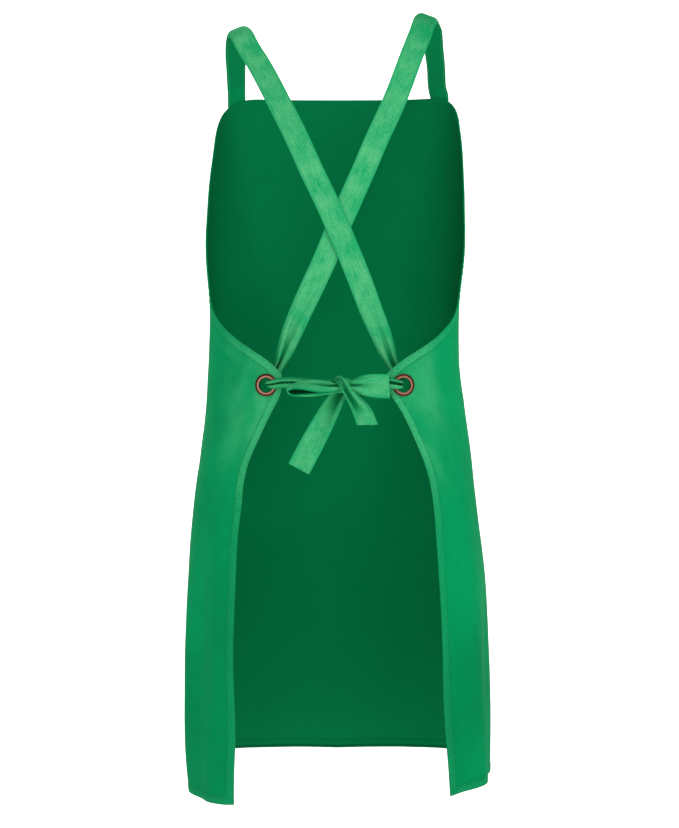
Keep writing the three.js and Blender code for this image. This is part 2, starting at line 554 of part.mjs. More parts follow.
const EYELET_SIDES = 16;
function eyeletHole(side) {
  const radius = EYELET_HOLE_RADIUS + EYELET_BARREL_WALL + GAP;
  const length = 6 * HEM_THICKNESS;
  return onEyeletAxis(new THREE.CylinderGeometry(radius, radius, length, EYELET_SIDES), side);
}

// A ring with a flange on each face of the cloth and a barrel between them.
function makeEyelet(side) {
  const seat = HEM_THICKNESS / 2 + GAP;
  const top = seat + EYELET_FLANGE;
  const width = EYELET_FLANGE_RADIUS - EYELET_HOLE_RADIUS;
  const half = [
    [EYELET_HOLE_RADIUS, seat],
    [EYELET_HOLE_RADIUS + 0.3 * width, top],
    [EYELET_HOLE_RADIUS + 0.7 * width, seat + 0.85 * EYELET_FLANGE],
    [EYELET_FLANGE_RADIUS, seat + 0.35 * EYELET_FLANGE],
    [EYELET_FLANGE_RADIUS, seat],
    [EYELET_HOLE_RADIUS + EYELET_BARREL_WALL, seat],
  ];
  const loop = [...half, ...half.map(([r, y]) => [r, -y]).reverse()];
  loop.push(loop[0]);
  const lathe = new THREE.LatheGeometry(loop.map(([r, y]) => new THREE.Vector2(r, y)), EYELET_SIDES);
  const solid = toSolid(lathe);
  const out = solid.volume() < 0 ? lathe.scale(-1, 1, 1) : lathe;
  return toGeometry(toSolid(onEyeletAxis(out, side)));
}

// The way that a strap's outer side looks, from its facing and its tilt in degrees.
function lookOf(facing, tilt) {
  const up = Math.sin(radians(facing));
  const back = -Math.cos(radians(facing));
  const look = new THREE.Vector3(0, back, up).multiplyScalar(Math.cos(radians(tilt)));
  return look.addScaledVector(X, Math.sin(radians(tilt)));
}

// The given stations, with one between two of them where the band turns, on smooth curves through them.
const STEADY_TURN = 7; // degrees that a band may turn between two stations with none between them
function betweenStations(stations) {
  const rows = stations.map(({ point, look, gather }) => ({
    x: point.x, y: point.y, z: point.z, lookX: look.x, lookY: look.y, lookZ: look.z, gather,
  }));
  const made = [];
  for (let i = 0; i <= (rows.length - 1) * 2; i += 1) {
    const [before, after] = [stations[Math.floor(i / 2)], stations[Math.ceil(i / 2)]];
    if (i % 2 === 1 && before.look.angleTo(after.look) < radians(STEADY_TURN)) {
      continue;
    }
    const [x, y, z, lookX, lookY, lookZ, gather] = ["x", "y", "z", "lookX", "lookY", "lookZ", "gather"].map(
      (name) => column(rows, name, i / 2),
    );
    const point = new THREE.Vector3(x, y, z);
    const look = new THREE.Vector3(lookX, lookY, lookZ).normalize();
    made.push({ point, look, gather: Math.min(gather, 1) });
  }
  return made;
}

// A band of cloth along stations, grown on all its faces by a clearance where it serves to cut its neighbour.
// Where it is gathered it stands in a zigzag of pleats, whose legs keep the width that the flat band has.
function makeBand(stations, clearance = 0) {
  const leg = STRAP_WIDTH / STRAP_PLEATS;
  const points = [];
  stations.forEach(({ point, look, gather }, i) => {
    const next = stations[Math.min(i + 1, stations.length - 1)].point;
    const last = stations[Math.max(i - 1, 0)].point;
    const ahead = next.clone().sub(last).normalize();
    const across = new THREE.Vector3().crossVectors(ahead, look).normalize();
    const outward = new THREE.Vector3().crossVectors(across, ahead).normalize();
    const height = leg * Math.sqrt(Math.max(1 - gather * gather, 0));
    const half = (STRAP_THICKNESS / 2 + clearance) / gather;
    for (const layer of [1, -1]) {
      for (let k = 0; k <= STRAP_PLEATS; k += 1) {
        const place = layer > 0 ? k : STRAP_PLEATS - k;
        const sideways = (place / STRAP_PLEATS - 0.5) * (STRAP_WIDTH * gather + 2 * clearance);
        const zigzag = (place % 2 === 0 ? -0.5 : 0.5) * height;
        const offset = zigzag + layer * half;
        points.push(point.clone().addScaledVector(across, sideways).addScaledVector(outward, offset));
      }
    }
  });
  const ring = 2 * (STRAP_PLEATS + 1);
  const triangles = [];
  const quad = (a, b, c, d) => triangles.push([a, b, c], [a, c, d]);
  for (let i = 0; i < stations.length - 1; i += 1) {
    for (let k = 0; k < ring; k += 1) {
      const a = i * ring + k;
      const b = i * ring + ((k + 1) % ring);
      quad(a, a + ring, b + ring, b);
    }
  }
  const end = (stations.length - 1) * ring;
  for (let k = 0; k < STRAP_PLEATS; k += 1) {
    quad(k, k + 1, ring - 2 - k, ring - 1 - k);
    quad(end + k, end + ring - 1 - k, end + ring - 2 - k, end + k + 1);
  }
  return closedGeometry(points, triangles);
}

// The strap's sewn foot, on the outer face of the bib.
const FOOT_ROWS = 3;
function footStations(side) {
  const stations = [];
  const standOff = HEM_THICKNESS / 2 + GAP + STRAP_THICKNESS / 2;
  const length = sectionPath(side, PANEL_LENGTH).lengths[SECTION_STEPS] - FOOT_INSET;
  for (let i = 0; i <= FOOT_ROWS; i += 1) {
    const z = PANEL_LENGTH - STRAP_FOOT + (STRAP_FOOT * i) / FOOT_ROWS;
    const { point, facing } = formPoint(side, z, length);
    stations.push({ point: point.addScaledVector(facing, standOff), look: facing, gather: 1 });
  }
  return stations;
}

function strapStations(table) {
  const layer = STRAP_THICKNESS + 2 * GAP;
  return table.map(({ across, out, up, facing, tilt, gather, over }) => {
    const look = lookOf(facing, tilt);
    const height = THREE.MathUtils.lerp(EYELET_HEIGHT, STRAP_TOP_HEIGHT, up);
    const point = new THREE.Vector3(across * SHOULDER_REACH, out * BACK_REACH, height);
    return { point: point.addScaledVector(look, over * layer), look, gather };
  });
}

// The stretch through the eyelet on the given side.
function throughEyelet(side) {
  const { point, inward, axis, up } = EYELETS[side];
  return THROUGH_EYELET.map((row) => ({
    point: point.clone()
      .addScaledVector(inward, row.inward * EYELET_FLANGE_RADIUS)
      .addScaledVector(axis, row.out * EYELET_FLANGE_RADIUS)
      .addScaledVector(up, row.up * EYELET_FLANGE_RADIUS),
    look: axis.clone().multiplyScalar(Math.cos(radians(row.turn)))
      .addScaledVector(inward, -Math.sin(radians(row.turn))),
    gather: row.gather,
  }));
}

const knotMiddle = EYELETS[1].point.clone().lerp(EYELETS[-1].point, 0.5);
knotMiddle.x = KNOT_ACROSS;
knotMiddle.y += KNOT_OUT;

// The knot: a rounded lump with the band's last wrap standing out across it, grown by a clearance where it
// serves to cut the bands that run into it.
const KNOT_ROUND = 2.6; // the power of its curve, where 2 is an ellipsoid
const WRAP_RISE = 0.1; // how far the wrap stands out, as a share of the knot
const WRAP_LEAN = 52; // degrees from upright
function knotGeometry(clearance) {
  const geometry = new THREE.SphereGeometry(1, 16, 10);
  const position = geometry.attributes.position;
  const wrap = new THREE.Vector3(Math.cos(radians(WRAP_LEAN)), 0, Math.sin(radians(WRAP_LEAN)));
  for (let i = 0; i < position.count; i += 1) {
    const way = new THREE.Vector3().fromBufferAttribute(position, i).normalize();
    const powers = Math.abs(way.x) ** KNOT_ROUND + Math.abs(way.y) ** KNOT_ROUND + Math.abs(way.z) ** KNOT_ROUND;
    const rise = 1 + WRAP_RISE * Math.exp(-((way.dot(wrap) / 0.3) ** 2)) - WRAP_RISE;
    const radius = rise / powers ** (1 / KNOT_ROUND);
    const size = new THREE.Vector3(KNOT_WIDTH, KNOT_DEPTH, KNOT_HEIGHT).divideScalar(2);
    const point = way.clone().multiplyScalar(radius).multiply(size).addScaledVector(way, clearance);
    position.setXYZ(i, point.x, point.y, point.z);
  }
  return geometry.translate(knotMiddle.x, knotMiddle.y, knotMiddle.z);
}

// A band whose end runs into the knot, cut back to a gap from the knot and from the bands that it lies against.
function seatedBand(stations, neighbours) {
  const cutters = neighbours.map((other) => toSolid(makeBand(other, GAP)));
  let band = toSolid(makeBand(stations)).subtract(toSolid(knotGeometry(GAP)));
  for (const cutter of cutters) {
    band = band.subtract(cutter);
  }
  const bodies = band.decompose().sort((a, b) => b.volume() - a.volume());
  return toGeometry(bodies[0]);
}

function strapRoute(side, table) {
  const bound = throughEyelet(-side);
  const last = bound[bound.length - 1];
  const heart = new THREE.Vector3(knotMiddle.x - side, knotMiddle.y - TIE_BEHIND, knotMiddle.z);
  const tie = [
    { point: last.point.clone().lerp(heart, 0.5), look: lookOf(180, 0), gather: last.gather },
    { point: heart, look: lookOf(180, 0), gather: 0.36 },
  ];
  return betweenStations([...footStations(side), ...strapStations(table), ...bound, ...tie]);
}

// A loop's stations, leaving the knot to one side.
function loopRoute(table, side, length) {
  return betweenStations(table.map(({ along, out, up, facing, tilt, gather }) => ({
    point: new THREE.Vector3(side * along * length, out * STRAP_WIDTH, up * STRAP_WIDTH).add(knotMiddle),
    look: lookOf(facing, tilt),
    gather,
  })));
}

// A hanging end's stations. side is across, as a share of the end's length.
function endRoute(table, length) {
  return betweenStations(table.map(({ along, out, side, facing, tilt, gather }) => ({
    point: new THREE.Vector3(side * length, out * STRAP_WIDTH, -along * length).add(knotMiddle),
    look: lookOf(facing, tilt),
    gather,
  })));
}

const routes = {
  strapLeft: strapRoute(1, STRAP_LEFT),
  strapRight: strapRoute(-1, STRAP_RIGHT),
  loopLeft: loopRoute(LOOP_LEFT, 1, LOOP_LEFT_LENGTH),
  loopRight: loopRoute(LOOP_RIGHT, -1, LOOP_RIGHT_LENGTH),
  endLong: endRoute(END_LONG, END_LONG_LENGTH),
  endShort: endRoute(END_SHORT, END_SHORT_LENGTH),
};
const ties = [routes.strapLeft, routes.strapRight];

const group = new THREE.Group();
group.position.z = -STRAP_TOP_HEIGHT;

function add(name, geometry, material) {
  const mesh = new THREE.Mesh(geometry, material);
  mesh.name = name;
  group.add(mesh);
}

add("apron_panel", makePanel(), drill);
add("eyelet_left", makeEyelet(1), copper);
add("eyelet_right", makeEyelet(-1), copper);
add("strap_left", seatedBand(routes.strapLeft, []), webbing);
add("strap_right", seatedBand(routes.strapRight, []), webbing);
add("bow_knot", knotGeometry(0), webbing);
add("tie_end_short", seatedBand(routes.endShort, ties), webbing);
add("tie_end_long", seatedBand(routes.endLong, [...ties, routes.endShort]), webbing);
const hanging = [...ties, routes.endShort, routes.endLong];
add("bow_loop_left", seatedBand(routes.loopLeft, hanging), webbing);
add("bow_loop_right", seatedBand(routes.loopRight, hanging), webbing);

const apron = new THREE.Group();
apron.add(group);

export default apron;
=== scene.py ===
# %% [markdown]
# # A cross back apron, worn
#
# The apron hangs from two shoulder straps that cross at the back, go out through a copper eyelet in each
# wing and are tied in a bow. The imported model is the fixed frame: it says where each piece lies, in metres,
# with +Z up, the front of the apron towards -Y and the wearer's left towards +X. Every visible piece is made
# again here as fine cloth or metal, in the place of its plain solid.

import bpy
import numpy as np
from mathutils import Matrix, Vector


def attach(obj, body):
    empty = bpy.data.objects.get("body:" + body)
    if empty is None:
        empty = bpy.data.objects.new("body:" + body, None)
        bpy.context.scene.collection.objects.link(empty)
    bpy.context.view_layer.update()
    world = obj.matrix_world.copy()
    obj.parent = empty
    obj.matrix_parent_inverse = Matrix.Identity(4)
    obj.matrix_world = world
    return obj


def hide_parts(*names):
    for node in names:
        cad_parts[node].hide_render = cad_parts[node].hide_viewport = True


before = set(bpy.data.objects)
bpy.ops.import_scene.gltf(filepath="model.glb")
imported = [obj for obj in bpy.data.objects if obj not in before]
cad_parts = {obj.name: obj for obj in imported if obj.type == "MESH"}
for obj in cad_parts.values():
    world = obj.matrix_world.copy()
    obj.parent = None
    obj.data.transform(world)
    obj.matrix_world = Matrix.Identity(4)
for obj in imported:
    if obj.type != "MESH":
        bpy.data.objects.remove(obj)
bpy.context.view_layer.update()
print("nodes in the frame:", ", ".join(sorted(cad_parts)))

# %% [markdown]
# ## Sizes
#
# Lengths are millimetres, because cloth is cut in millimetres, and `MM` turns them into metres when a mesh
# is made. Heights count from the hem, and the frame's origin lies `ORIGIN_HEIGHT` above it.

# %% Driving sizes
MM = 0.001
PANEL_LENGTH = 860.0
HIP_HALF_WIDTH = 190.0
FRONT_DEPTH = 122.0
BACK_DEPTH = 156.0
STRAP_RISE = 84.0
ORIGIN_HEIGHT = PANEL_LENGTH + STRAP_RISE
SHOULDER_REACH = 120.0
BACK_REACH = 118.0

CLOTH = 1.2
HEM_WIDTH = 10.0
BIB_CORNER = {1: 58.0, -1: 34.0}

HOLE_RADIUS = 8.7
BARREL_WALL = 0.8
FLANGE_RADIUS = 13.4
FLANGE = 1.2
EYELET_DROP = 12.8
EYELET_INSET = 18.5
PRESSED_RADIUS = 28.0
PRESSED_FADE = 20.0

STRAP_WIDTH = 28.0
STRAP_THICKNESS = 1.5
STRAP_FOOT = 42.0
FOOT_INSET = 29.5
KNOT = np.array([21.0, 17.0, 19.0])
KNOT_ACROSS = -8.0
KNOT_OUT = 16.0
TIE_BEHIND = 5.0
LOOP_LENGTH = {1: 65.0, -1: 54.0}
END_LONG_LENGTH = 109.0
END_SHORT_LENGTH = 60.0
FOLD_DEPTH = 8.0
STITCH_EDGE = 1.8
STITCH_INNER = 8.4
STRAP_STITCH = 2.4
THREAD_RADIUS = 0.34

LEFT, RIGHT = 1, -1
rng = np.random.default_rng(7)
print("the frame's origin is", ORIGIN_HEIGHT, "mm over the hem")

# %% [markdown]
# ## The worn form as tables
#
# A worn apron has no flat pattern left in it, so its form is given by level sections: each row of the table
# is one height, and smooth curves run through every column. `WING_EDGE` and `ARMHOLE_EDGE` say how far round
# each side the cloth goes, as an angle in its section, and `HEM_LIFT` how the hem rises and falls on its way
# to the edge.

# %% Tables of the panel
SECTIONS = {
    "height": [0.0, 0.05, 0.17, 0.29, 0.395, 0.477, 0.547, 0.595, 0.645, 0.698, 0.763, 0.837, 0.919, 1.0],
    LEFT: [0.93, 0.955, 0.976, 0.976, 0.94, 0.892, 0.848, 0.838, 0.827, 0.829, 0.853, 0.847, 0.836, 0.842],
    RIGHT: [0.997, 0.998, 1.0, 0.984, 0.924, 0.876, 0.83, 0.807, 0.8, 0.806, 0.835, 0.836, 0.837, 0.847],
    "front": [0.985, 0.985, 1, 1, 0.975, 0.925, 0.875, 0.852, 0.852, 0.885, 0.943, 0.99, 1.016, 0.967],
    "back": [0.965, 0.975, 0.985, 0.96, 0.905, 0.84, 0.8, 0.79, 0.783, 0.776, 0.77, 0.77, 0.757, 0.72],
    "round_front": [2.4, 2.4, 2.4, 2.4, 2.4, 2.4, 2.4, 2.4, 2.4, 2.4, 2.5, 2.7, 2.9, 3.2],
    "round_left": [4.6, 4.2, 3.0, 2.6, 2.8, 3.0, 3.2, 3.2, 3.0, 2.8, 2.6, 2.5, 2.5, 2.5],
    "round_right": [4.0, 3.8, 2.8, 2.6, 2.8, 3.0, 3.2, 3.2, 3.0, 2.8, 2.6, 2.5, 2.5, 2.5],
}
WING_EDGE = {
    "height": [0.0, 0.077, 0.195, 0.294, 0.365, 0.41, 0.448, 0.473, 0.502, 0.541, 0.567, 0.594],
    LEFT: [154.9, 154.2, 146.4, 145.1, 146.3, 148.0, 149.0, 151.2, 155.7, 162.0, 166.0, 166.4],
    RIGHT: [148.7, 148.9, 144.2, 144.2, 144.9, 145.6, 147.5, 150.2, 154.6, 161.0, 166.0, 167.6],
}
ARMHOLE_EDGE = {
    "height": [0.594, 0.61, 0.625, 0.635, 0.647, 0.657, 0.67, 0.686, 0.705, 0.735, 0.8, 0.86, 0.915,
               0.955, 1],
    LEFT: [166.4, 160.8, 151.8, 144.3, 134.8, 127.3, 118, 108.8, 100, 95, 90.2, 84.9, 77.5, 70.5, 62],
    RIGHT: [167.6, 161.2, 151.5, 143.5, 133.8, 126.6, 117, 108, 101.5, 98, 93.6, 89.7, 83, 74, 64],
}
HEM_LIFT = {
    "share": [0.0, 0.25, 0.4, 0.7, 0.86, 1.0],
    LEFT: [-1.0, 3.0, 7.0, -2.0, -4.5, -1.5],
    RIGHT: [-1.0, 3.0, 7.0, 6.0, 13.0, 7.0],
}
HEM_LIFT_FADE = 0.3
CORNER_HEIGHT = WING_EDGE["height"][-1] * PANEL_LENGTH
EYELET_HEIGHT = CORNER_HEIGHT - EYELET_DROP


# %% Smooth curves through a table
def curve_through(at, values, x):
    """A smooth curve through the rows of a table: a cubic between two rows, whose slope at a row is the mean
    of the slopes on both sides of it, each weighted by the other stretch's length."""
    at, values = np.asarray(at, float), np.asarray(values, float)
    step = np.diff(at)
    rise = np.diff(values) / step
    inner = (rise[:-1] * step[1:] + rise[1:] * step[:-1]) / (step[1:] + step[:-1])
    slope = np.concatenate([rise[:1], inner, rise[-1:]])
    x = np.clip(x, at[0], at[-1])
    row = np.clip(np.searchsorted(at, x, side="right") - 1, 0, len(step) - 1)
    h = step[row]
    t = (x - at[row]) / h
    start = values[row] * (1 + 2 * t) * (1 - t) ** 2 + slope[row] * h * t * (1 - t) ** 2
    return start + values[row + 1] * t * t * (3 - 2 * t) - slope[row + 1] * h * t * t * (1 - t)


def smooth(x, low, high):
    """0 below low and 1 above high, and between them three squares less two cubes of the share of the
    way."""
    t = np.clip((x - low) / (high - low), 0, 1)
    return t * t * (3 - 2 * t)


def unit(v):
    """Vectors divided by their lengths."""
    return v / np.maximum(np.linalg.norm(v, axis=-1, keepdims=True), 1e-9)


def lengths_along(points):
    """Lengths from the first point of each row to its other ones: the steps between neighbours, added up."""
    steps = np.linalg.norm(np.diff(points, axis=-2), axis=-1)
    return np.concatenate([np.zeros(steps.shape[:-1] + (1,)), np.cumsum(steps, axis=-1)], axis=-1)


def edge_angle(side, height):
    """The angle, in degrees, at which the cloth ends at a height, from the wing's table or the armhole's."""
    wing = curve_through(WING_EDGE["height"], WING_EDGE[side], height)
    armhole = curve_through(ARMHOLE_EDGE["height"], ARMHOLE_EDGE[side], height)
    return np.where(height < WING_EDGE["height"][-1], wing, armhole)


print("the wings' corners are", round(CORNER_HEIGHT), "mm over the hem")

# %% [markdown]
# ## Cloth coordinates
#
# A place on the cloth is a length from the middle of the front, measured along the cloth, and a height over
# the hem. Both are real lengths, so a hem, a stitch or a thread keeps its size wherever the cloth goes. The
# lookup below holds the worn form at every 2 mm of both, and `form` reads between its entries.

# %% The lookup of the worn form
LOOKUP_STEP = 2.0
LOOKUP_REACH = 480.0
SECTION_STEPS = 420
WIDEST_ANGLE = 178.0
SMALL_STEP = 1.5
look_heights = np.arange(0, PANEL_LENGTH + LOOKUP_STEP, LOOKUP_STEP)
look_lengths = np.arange(0, LOOKUP_REACH, LOOKUP_STEP)


def section_points(side, z):
    """Half sections at heights z. The width is the sine of the angle to the power 2 / round, and the depth
    is the cosine to the same power, in front of and behind the middle plane with their own sizes."""
    height = z / PANEL_LENGTH
    at = SECTIONS["height"]
    value = {name: curve_through(at, column, height)[:, None] for name, column in SECTIONS.items()}
    angle = np.radians(np.linspace(0, WIDEST_ANGLE, SECTION_STEPS + 1))[None, :]
    ahead = angle < np.pi / 2
    behind = value["round_left"] if side == LEFT else value["round_right"]
    power = 2 / np.where(ahead, value["round_front"], behind)
    depth = np.where(ahead, -value["front"] * FRONT_DEPTH, value["back"] * BACK_DEPTH)
    x = side * value[side] * HIP_HALF_WIDTH * np.sin(angle) ** power
    y = depth * np.abs(np.cos(angle)) ** power
    return np.stack([x, y], axis=-1), np.degrees(angle[0])


def make_lookup(side):
    """For each height: plan points at even lengths along the section, and the length at which the cloth
    ends."""
    points, degrees = section_points(side, look_heights)
    ends = edge_angle(side, look_heights / PANEL_LENGTH)
    plan = np.empty((len(look_heights), len(look_lengths), 2))
    whole = np.empty(len(look_heights))
    for row, along in enumerate(lengths_along(points)):
        plan[row, :, 0] = np.interp(look_lengths, along, points[row, :, 0])
        plan[row, :, 1] = np.interp(look_lengths, along, points[row, :, 1])
        whole[row] = np.interp(ends[row], degrees, along)
    return plan, whole


LOOKUP = {side: make_lookup(side) for side in (LEFT, RIGHT)}


# %% Read the lookup
def form(side, z, length):
    """The worn form before folds at heights z and lengths along the cloth, read evenly between four entries.
    The last place read is just before the last entry, so that each place has a next one."""
    before_last = 1.001
    row = np.clip(z / LOOKUP_STEP, 0, len(look_heights) - before_last)
    col = np.clip(length / LOOKUP_STEP, 0, len(look_lengths) - before_last)
    r, c = row.astype(int), col.astype(int)
    fr, fc = (row - r)[..., None], (col - c)[..., None]
    plan = LOOKUP[side][0]
    low = plan[r, c] * (1 - fc) + plan[r, c + 1] * fc
    high = plan[r + 1, c] * (1 - fc) + plan[r + 1, c + 1] * fc
    flat = low * (1 - fr) + high * fr
    return np.concatenate([flat, np.broadcast_to(z, flat.shape[:-1])[..., None]], axis=-1)


def edge_length(side, z):
    """The length at which the cloth ends at one height, before the bib's corner is rounded."""
    points, degrees = section_points(side, np.array([z]))
    return np.interp(edge_angle(side, z / PANEL_LENGTH), degrees, lengths_along(points[0]))


CORNER_ROW = np.searchsorted(look_heights, CORNER_HEIGHT)
CORNER_LENGTH = {side: edge_length(side, CORNER_HEIGHT) for side in (LEFT, RIGHT)}


def half_length(side, z):
    """The length of cloth from the middle to the edge at heights z, less the round of the bib's corner. The
    lookup's ends get one more entry at the wing's sharp corner."""
    z = np.asarray(z, float)
    at = np.insert(look_heights, CORNER_ROW, CORNER_HEIGHT)
    whole = np.interp(z, at, np.insert(LOOKUP[side][1], CORNER_ROW, CORNER_LENGTH[side]))
    radius = BIB_CORNER[side]
    rise = np.clip(z - (PANEL_LENGTH - radius), 0, radius)
    return whole - radius + np.sqrt(radius**2 - rise**2)


print("cloth at the hem, mm:", half_length(LEFT, 0.0) + half_length(RIGHT, 0.0))

# %% [markdown]
# ## Folds
#
# Long soft folds run up the skirt from the hem. Each is a ridge with the profile of a bell curve across,
# faded out at its upper end. Finer, shorter creases give the cloth its slight unrest.

# %% Folds of the panel
FOLDS = [
    # side, along, low, high, depth, spread
    (LEFT, 0.975, -0.5, 0.3, 0.3, 0.03),
    (LEFT, 0.86, -0.5, 0.46, -0.55, 0.045),
    (LEFT, 0.77, -0.5, 0.4, 0.75, 0.05),
    (LEFT, 0.67, -0.5, 0.36, -0.6, 0.05),
    (LEFT, 0.45, -0.5, 0.3, 0.4, 0.07),
    (LEFT, 0.84, 0.4, 0.62, 0.35, 0.05),
    (LEFT, 0.7, 0.42, 0.66, -0.3, 0.05),
    (RIGHT, 0.96, -0.5, 0.36, -0.45, 0.035),
    (RIGHT, 0.87, -0.5, 0.5, 0.65, 0.05),
    (RIGHT, 0.75, -0.5, 0.42, -0.6, 0.05),
    (RIGHT, 0.64, -0.5, 0.32, 0.6, 0.05),
    (RIGHT, 0.45, -0.5, 0.3, -0.4, 0.07),
    (RIGHT, 0.82, 0.4, 0.64, -0.3, 0.05),
    (RIGHT, 0.7, 0.42, 0.66, 0.3, 0.05),
]
PULLS = {
    # degrees round the eyelet from the outward way towards the top, depth, spread in degrees
    LEFT: [(-62, 0.9, 9), (-38, -0.7, 8), (-14, 0.8, 7), (8, -0.6, 6), (24, 0.8, 7)],
    RIGHT: [(-58, 0.8, 9), (-33, -0.7, 8), (-10, 0.7, 7), (10, -0.6, 6), (27, 0.8, 7)],
}
FOLD_LOW_FADE = 0.1
FOLD_HIGH_FADE = 0.26
PULL_STRENGTH = 1.3
PULL_PEAK = 50.0
PULL_FADE = (90.0, 190.0)
RIPPLES = 26
RIPPLE_STRENGTH = 0.35
ripple_way = rng.uniform(-0.5, 0.5, RIPPLES)
ripple_wave = rng.uniform(45, 160, RIPPLES)
ripple_phase = rng.uniform(0, 2 * np.pi, RIPPLES)
ripple_depth = 0.0035 * ripple_wave * rng.uniform(0.4, 1.0, RIPPLES)

print(len(FOLDS), "long folds,", len(PULLS[LEFT]), "creases at each eyelet and", RIPPLES, "ripples")


# %% Depths of the folds
def fold_depth(side, share, height):
    """How far the long folds move the cloth outwards: a sum of bell curves, each faded at its two ends."""
    depth = np.zeros(np.broadcast(share, height).shape)
    for fold_side, along, low, high, deep, spread in FOLDS:
        if fold_side == side:
            reach = smooth(height, low, low + FOLD_LOW_FADE)
            reach = reach * (1 - smooth(height, high - FOLD_HIGH_FADE, high))
            depth += deep * FOLD_DEPTH * reach * np.exp(-(((share - along) / spread) ** 2))
    return depth


def ripple(length, z):
    """Slight unrest: a sum of slow waves, most of them running nearly upright, as hanging cloth has."""
    total = np.zeros(np.broadcast(length, z).shape)
    for way, wave, phase, deep in zip(ripple_way, ripple_wave, ripple_phase, ripple_depth):
        total += deep * np.sin(2 * np.pi * (np.cos(way) * length + np.sin(way) * z) / wave + phase)
    return total * RIPPLE_STRENGTH


def pull(side, length, z):
    """Creases that run out from an eyelet, because the tied straps pull on it: ridges at set angles, highest
    at the peak's distance r from the eyelet. Their height at x is x / r times e to the power 1 - x / r."""
    dx, dz = EYELETS[side]["length"] - length, z - EYELET_HEIGHT
    far = np.hypot(dx, dz)
    angle = np.degrees(np.arctan2(dz, dx))
    total = np.zeros(far.shape)
    for at, deep, spread in PULLS[side]:
        total += deep * np.exp(-(((angle - at) / spread) ** 2))
    share = far / PULL_PEAK
    return total * PULL_STRENGTH * share * np.exp(1 - share) * (1 - smooth(far, *PULL_FADE))


# %% [markdown]
# ## Eyelets press the cloth flat
#
# Each eyelet has a frame of its own: its middle on the cloth, the axis that it looks along, and the ways
# that go inward to the other wing and up along the cloth.

# %% Eyelet frames
def eyelet_frame(side):
    """Middle, inward, axis and up of an eyelet, from points of the form a little way to each side of it."""
    length = half_length(side, EYELET_HEIGHT) - EYELET_INSET
    reach = PRESSED_RADIUS / 2

    def at(dz, dl):
        return form(side, np.array(EYELET_HEIGHT + dz), np.array(length + dl))

    inward = unit(at(0, reach) - at(0, -reach))
    rising = unit(at(reach, 0) - at(-reach, 0))
    axis = unit(np.cross(inward, rising))
    axis = axis if axis[1] > 0 else -axis
    up = unit(np.cross(inward, axis))
    up = up if up[2] > 0 else -up
    return {"point": at(0, 0), "inward": inward, "axis": axis, "up": up, "length": float(length)}


EYELETS = {side: eyelet_frame(side) for side in (LEFT, RIGHT)}
knot_middle = (EYELETS[LEFT]["point"] + EYELETS[RIGHT]["point"]) / 2
knot_middle[0] = KNOT_ACROSS
knot_middle[1] += KNOT_OUT


# %% The whole worn cloth
def cloth_side(side, z, length):
    """The middle of the cloth on one side, with folds, and flat where the eyelet presses it."""
    point = form(side, z, length)
    ahead = form(side, z, length + SMALL_STEP) - form(side, z, np.maximum(length - SMALL_STEP, 0))
    level = np.zeros_like(ahead[..., 0])
    facing = unit(np.stack([side * ahead[..., 1], -side * ahead[..., 0], level], axis=-1))
    eyelet = EYELETS[side]
    away = np.linalg.norm(point - eyelet["point"], axis=-1)
    pressed = 1 - smooth(away, PRESSED_RADIUS, PRESSED_RADIUS + PRESSED_FADE)
    share = length / half_length(side, z)
    fold = fold_depth(side, share, z / PANEL_LENGTH) + ripple(side * length, z) + pull(side, length, z)
    point = point + facing * (fold * (1 - pressed))[..., None]
    proud = ((point - eyelet["point"]) * eyelet["axis"]).sum(axis=-1)
    point = point - eyelet["axis"] * (proud * pressed)[..., None]
    fade = 1 - smooth(z / PANEL_LENGTH, 0, HEM_LIFT_FADE)
    point[..., 2] += curve_through(HEM_LIFT["share"], HEM_LIFT[side], share) * fade
    return point


def cloth(across, z):
    """The middle of the cloth at signed lengths from the middle of the front: left of it is above zero."""
    left = cloth_side(LEFT, z, np.abs(across))
    right = cloth_side(RIGHT, z, np.abs(across))
    return np.where((across >= 0)[..., None], left, right)


print("eyelets at, mm:", EYELETS[LEFT]["point"].round(1), EYELETS[RIGHT]["point"].round(1))

# %% [markdown]
# ## From arrays to closed meshes
#
# Cloth has two faces and a rim. Both faces are grids of points with the same rows and columns, and a rim of
# quadrilaterals closes every edge that has a face on one side only, which also closes holes.

# %% Two grids and a rim
def two_faced(outer, inner, kept=None):
    """Vertices and quadrilaterals of cloth from two grids of points. kept says which cells have cloth."""
    rows, cols = outer.shape[:2]
    count = rows * cols
    if kept is None:
        kept = np.ones((rows - 1, cols - 1), bool)
    index = np.arange(count).reshape(rows, cols)
    a, b, c, d = index[:-1, :-1], index[:-1, 1:], index[1:, 1:], index[1:, :-1]
    top = np.stack([a, b, c, d], axis=-1)[kept]
    faces = [top, top[:, ::-1] + count]
    padded = np.pad(kept, 1)
    sides = (
        (a, b, padded[:-2, 1:-1]),
        (b, c, padded[1:-1, 2:]),
        (c, d, padded[2:, 1:-1]),
        (d, a, padded[1:-1, :-2]),
    )
    for start, end, neighbour in sides:
        bare = kept & ~neighbour
        s, e = start[bare], end[bare]
        faces.append(np.stack([e, s, s + count, e + count], axis=-1))
    points = np.concatenate([outer.reshape(-1, 3), inner.reshape(-1, 3)])
    return points, np.concatenate(faces)


# %% Mesh objects
def signed_volume(points, faces):
    """Six times the volume inside, from the triple product of each triangle's corners."""
    p = points[faces]
    first = np.einsum("ij,ij->i", p[:, 0], np.cross(p[:, 1], p[:, 2]))
    return (first + np.einsum("ij,ij->i", p[:, 0], np.cross(p[:, 2], p[:, 3]))).sum()


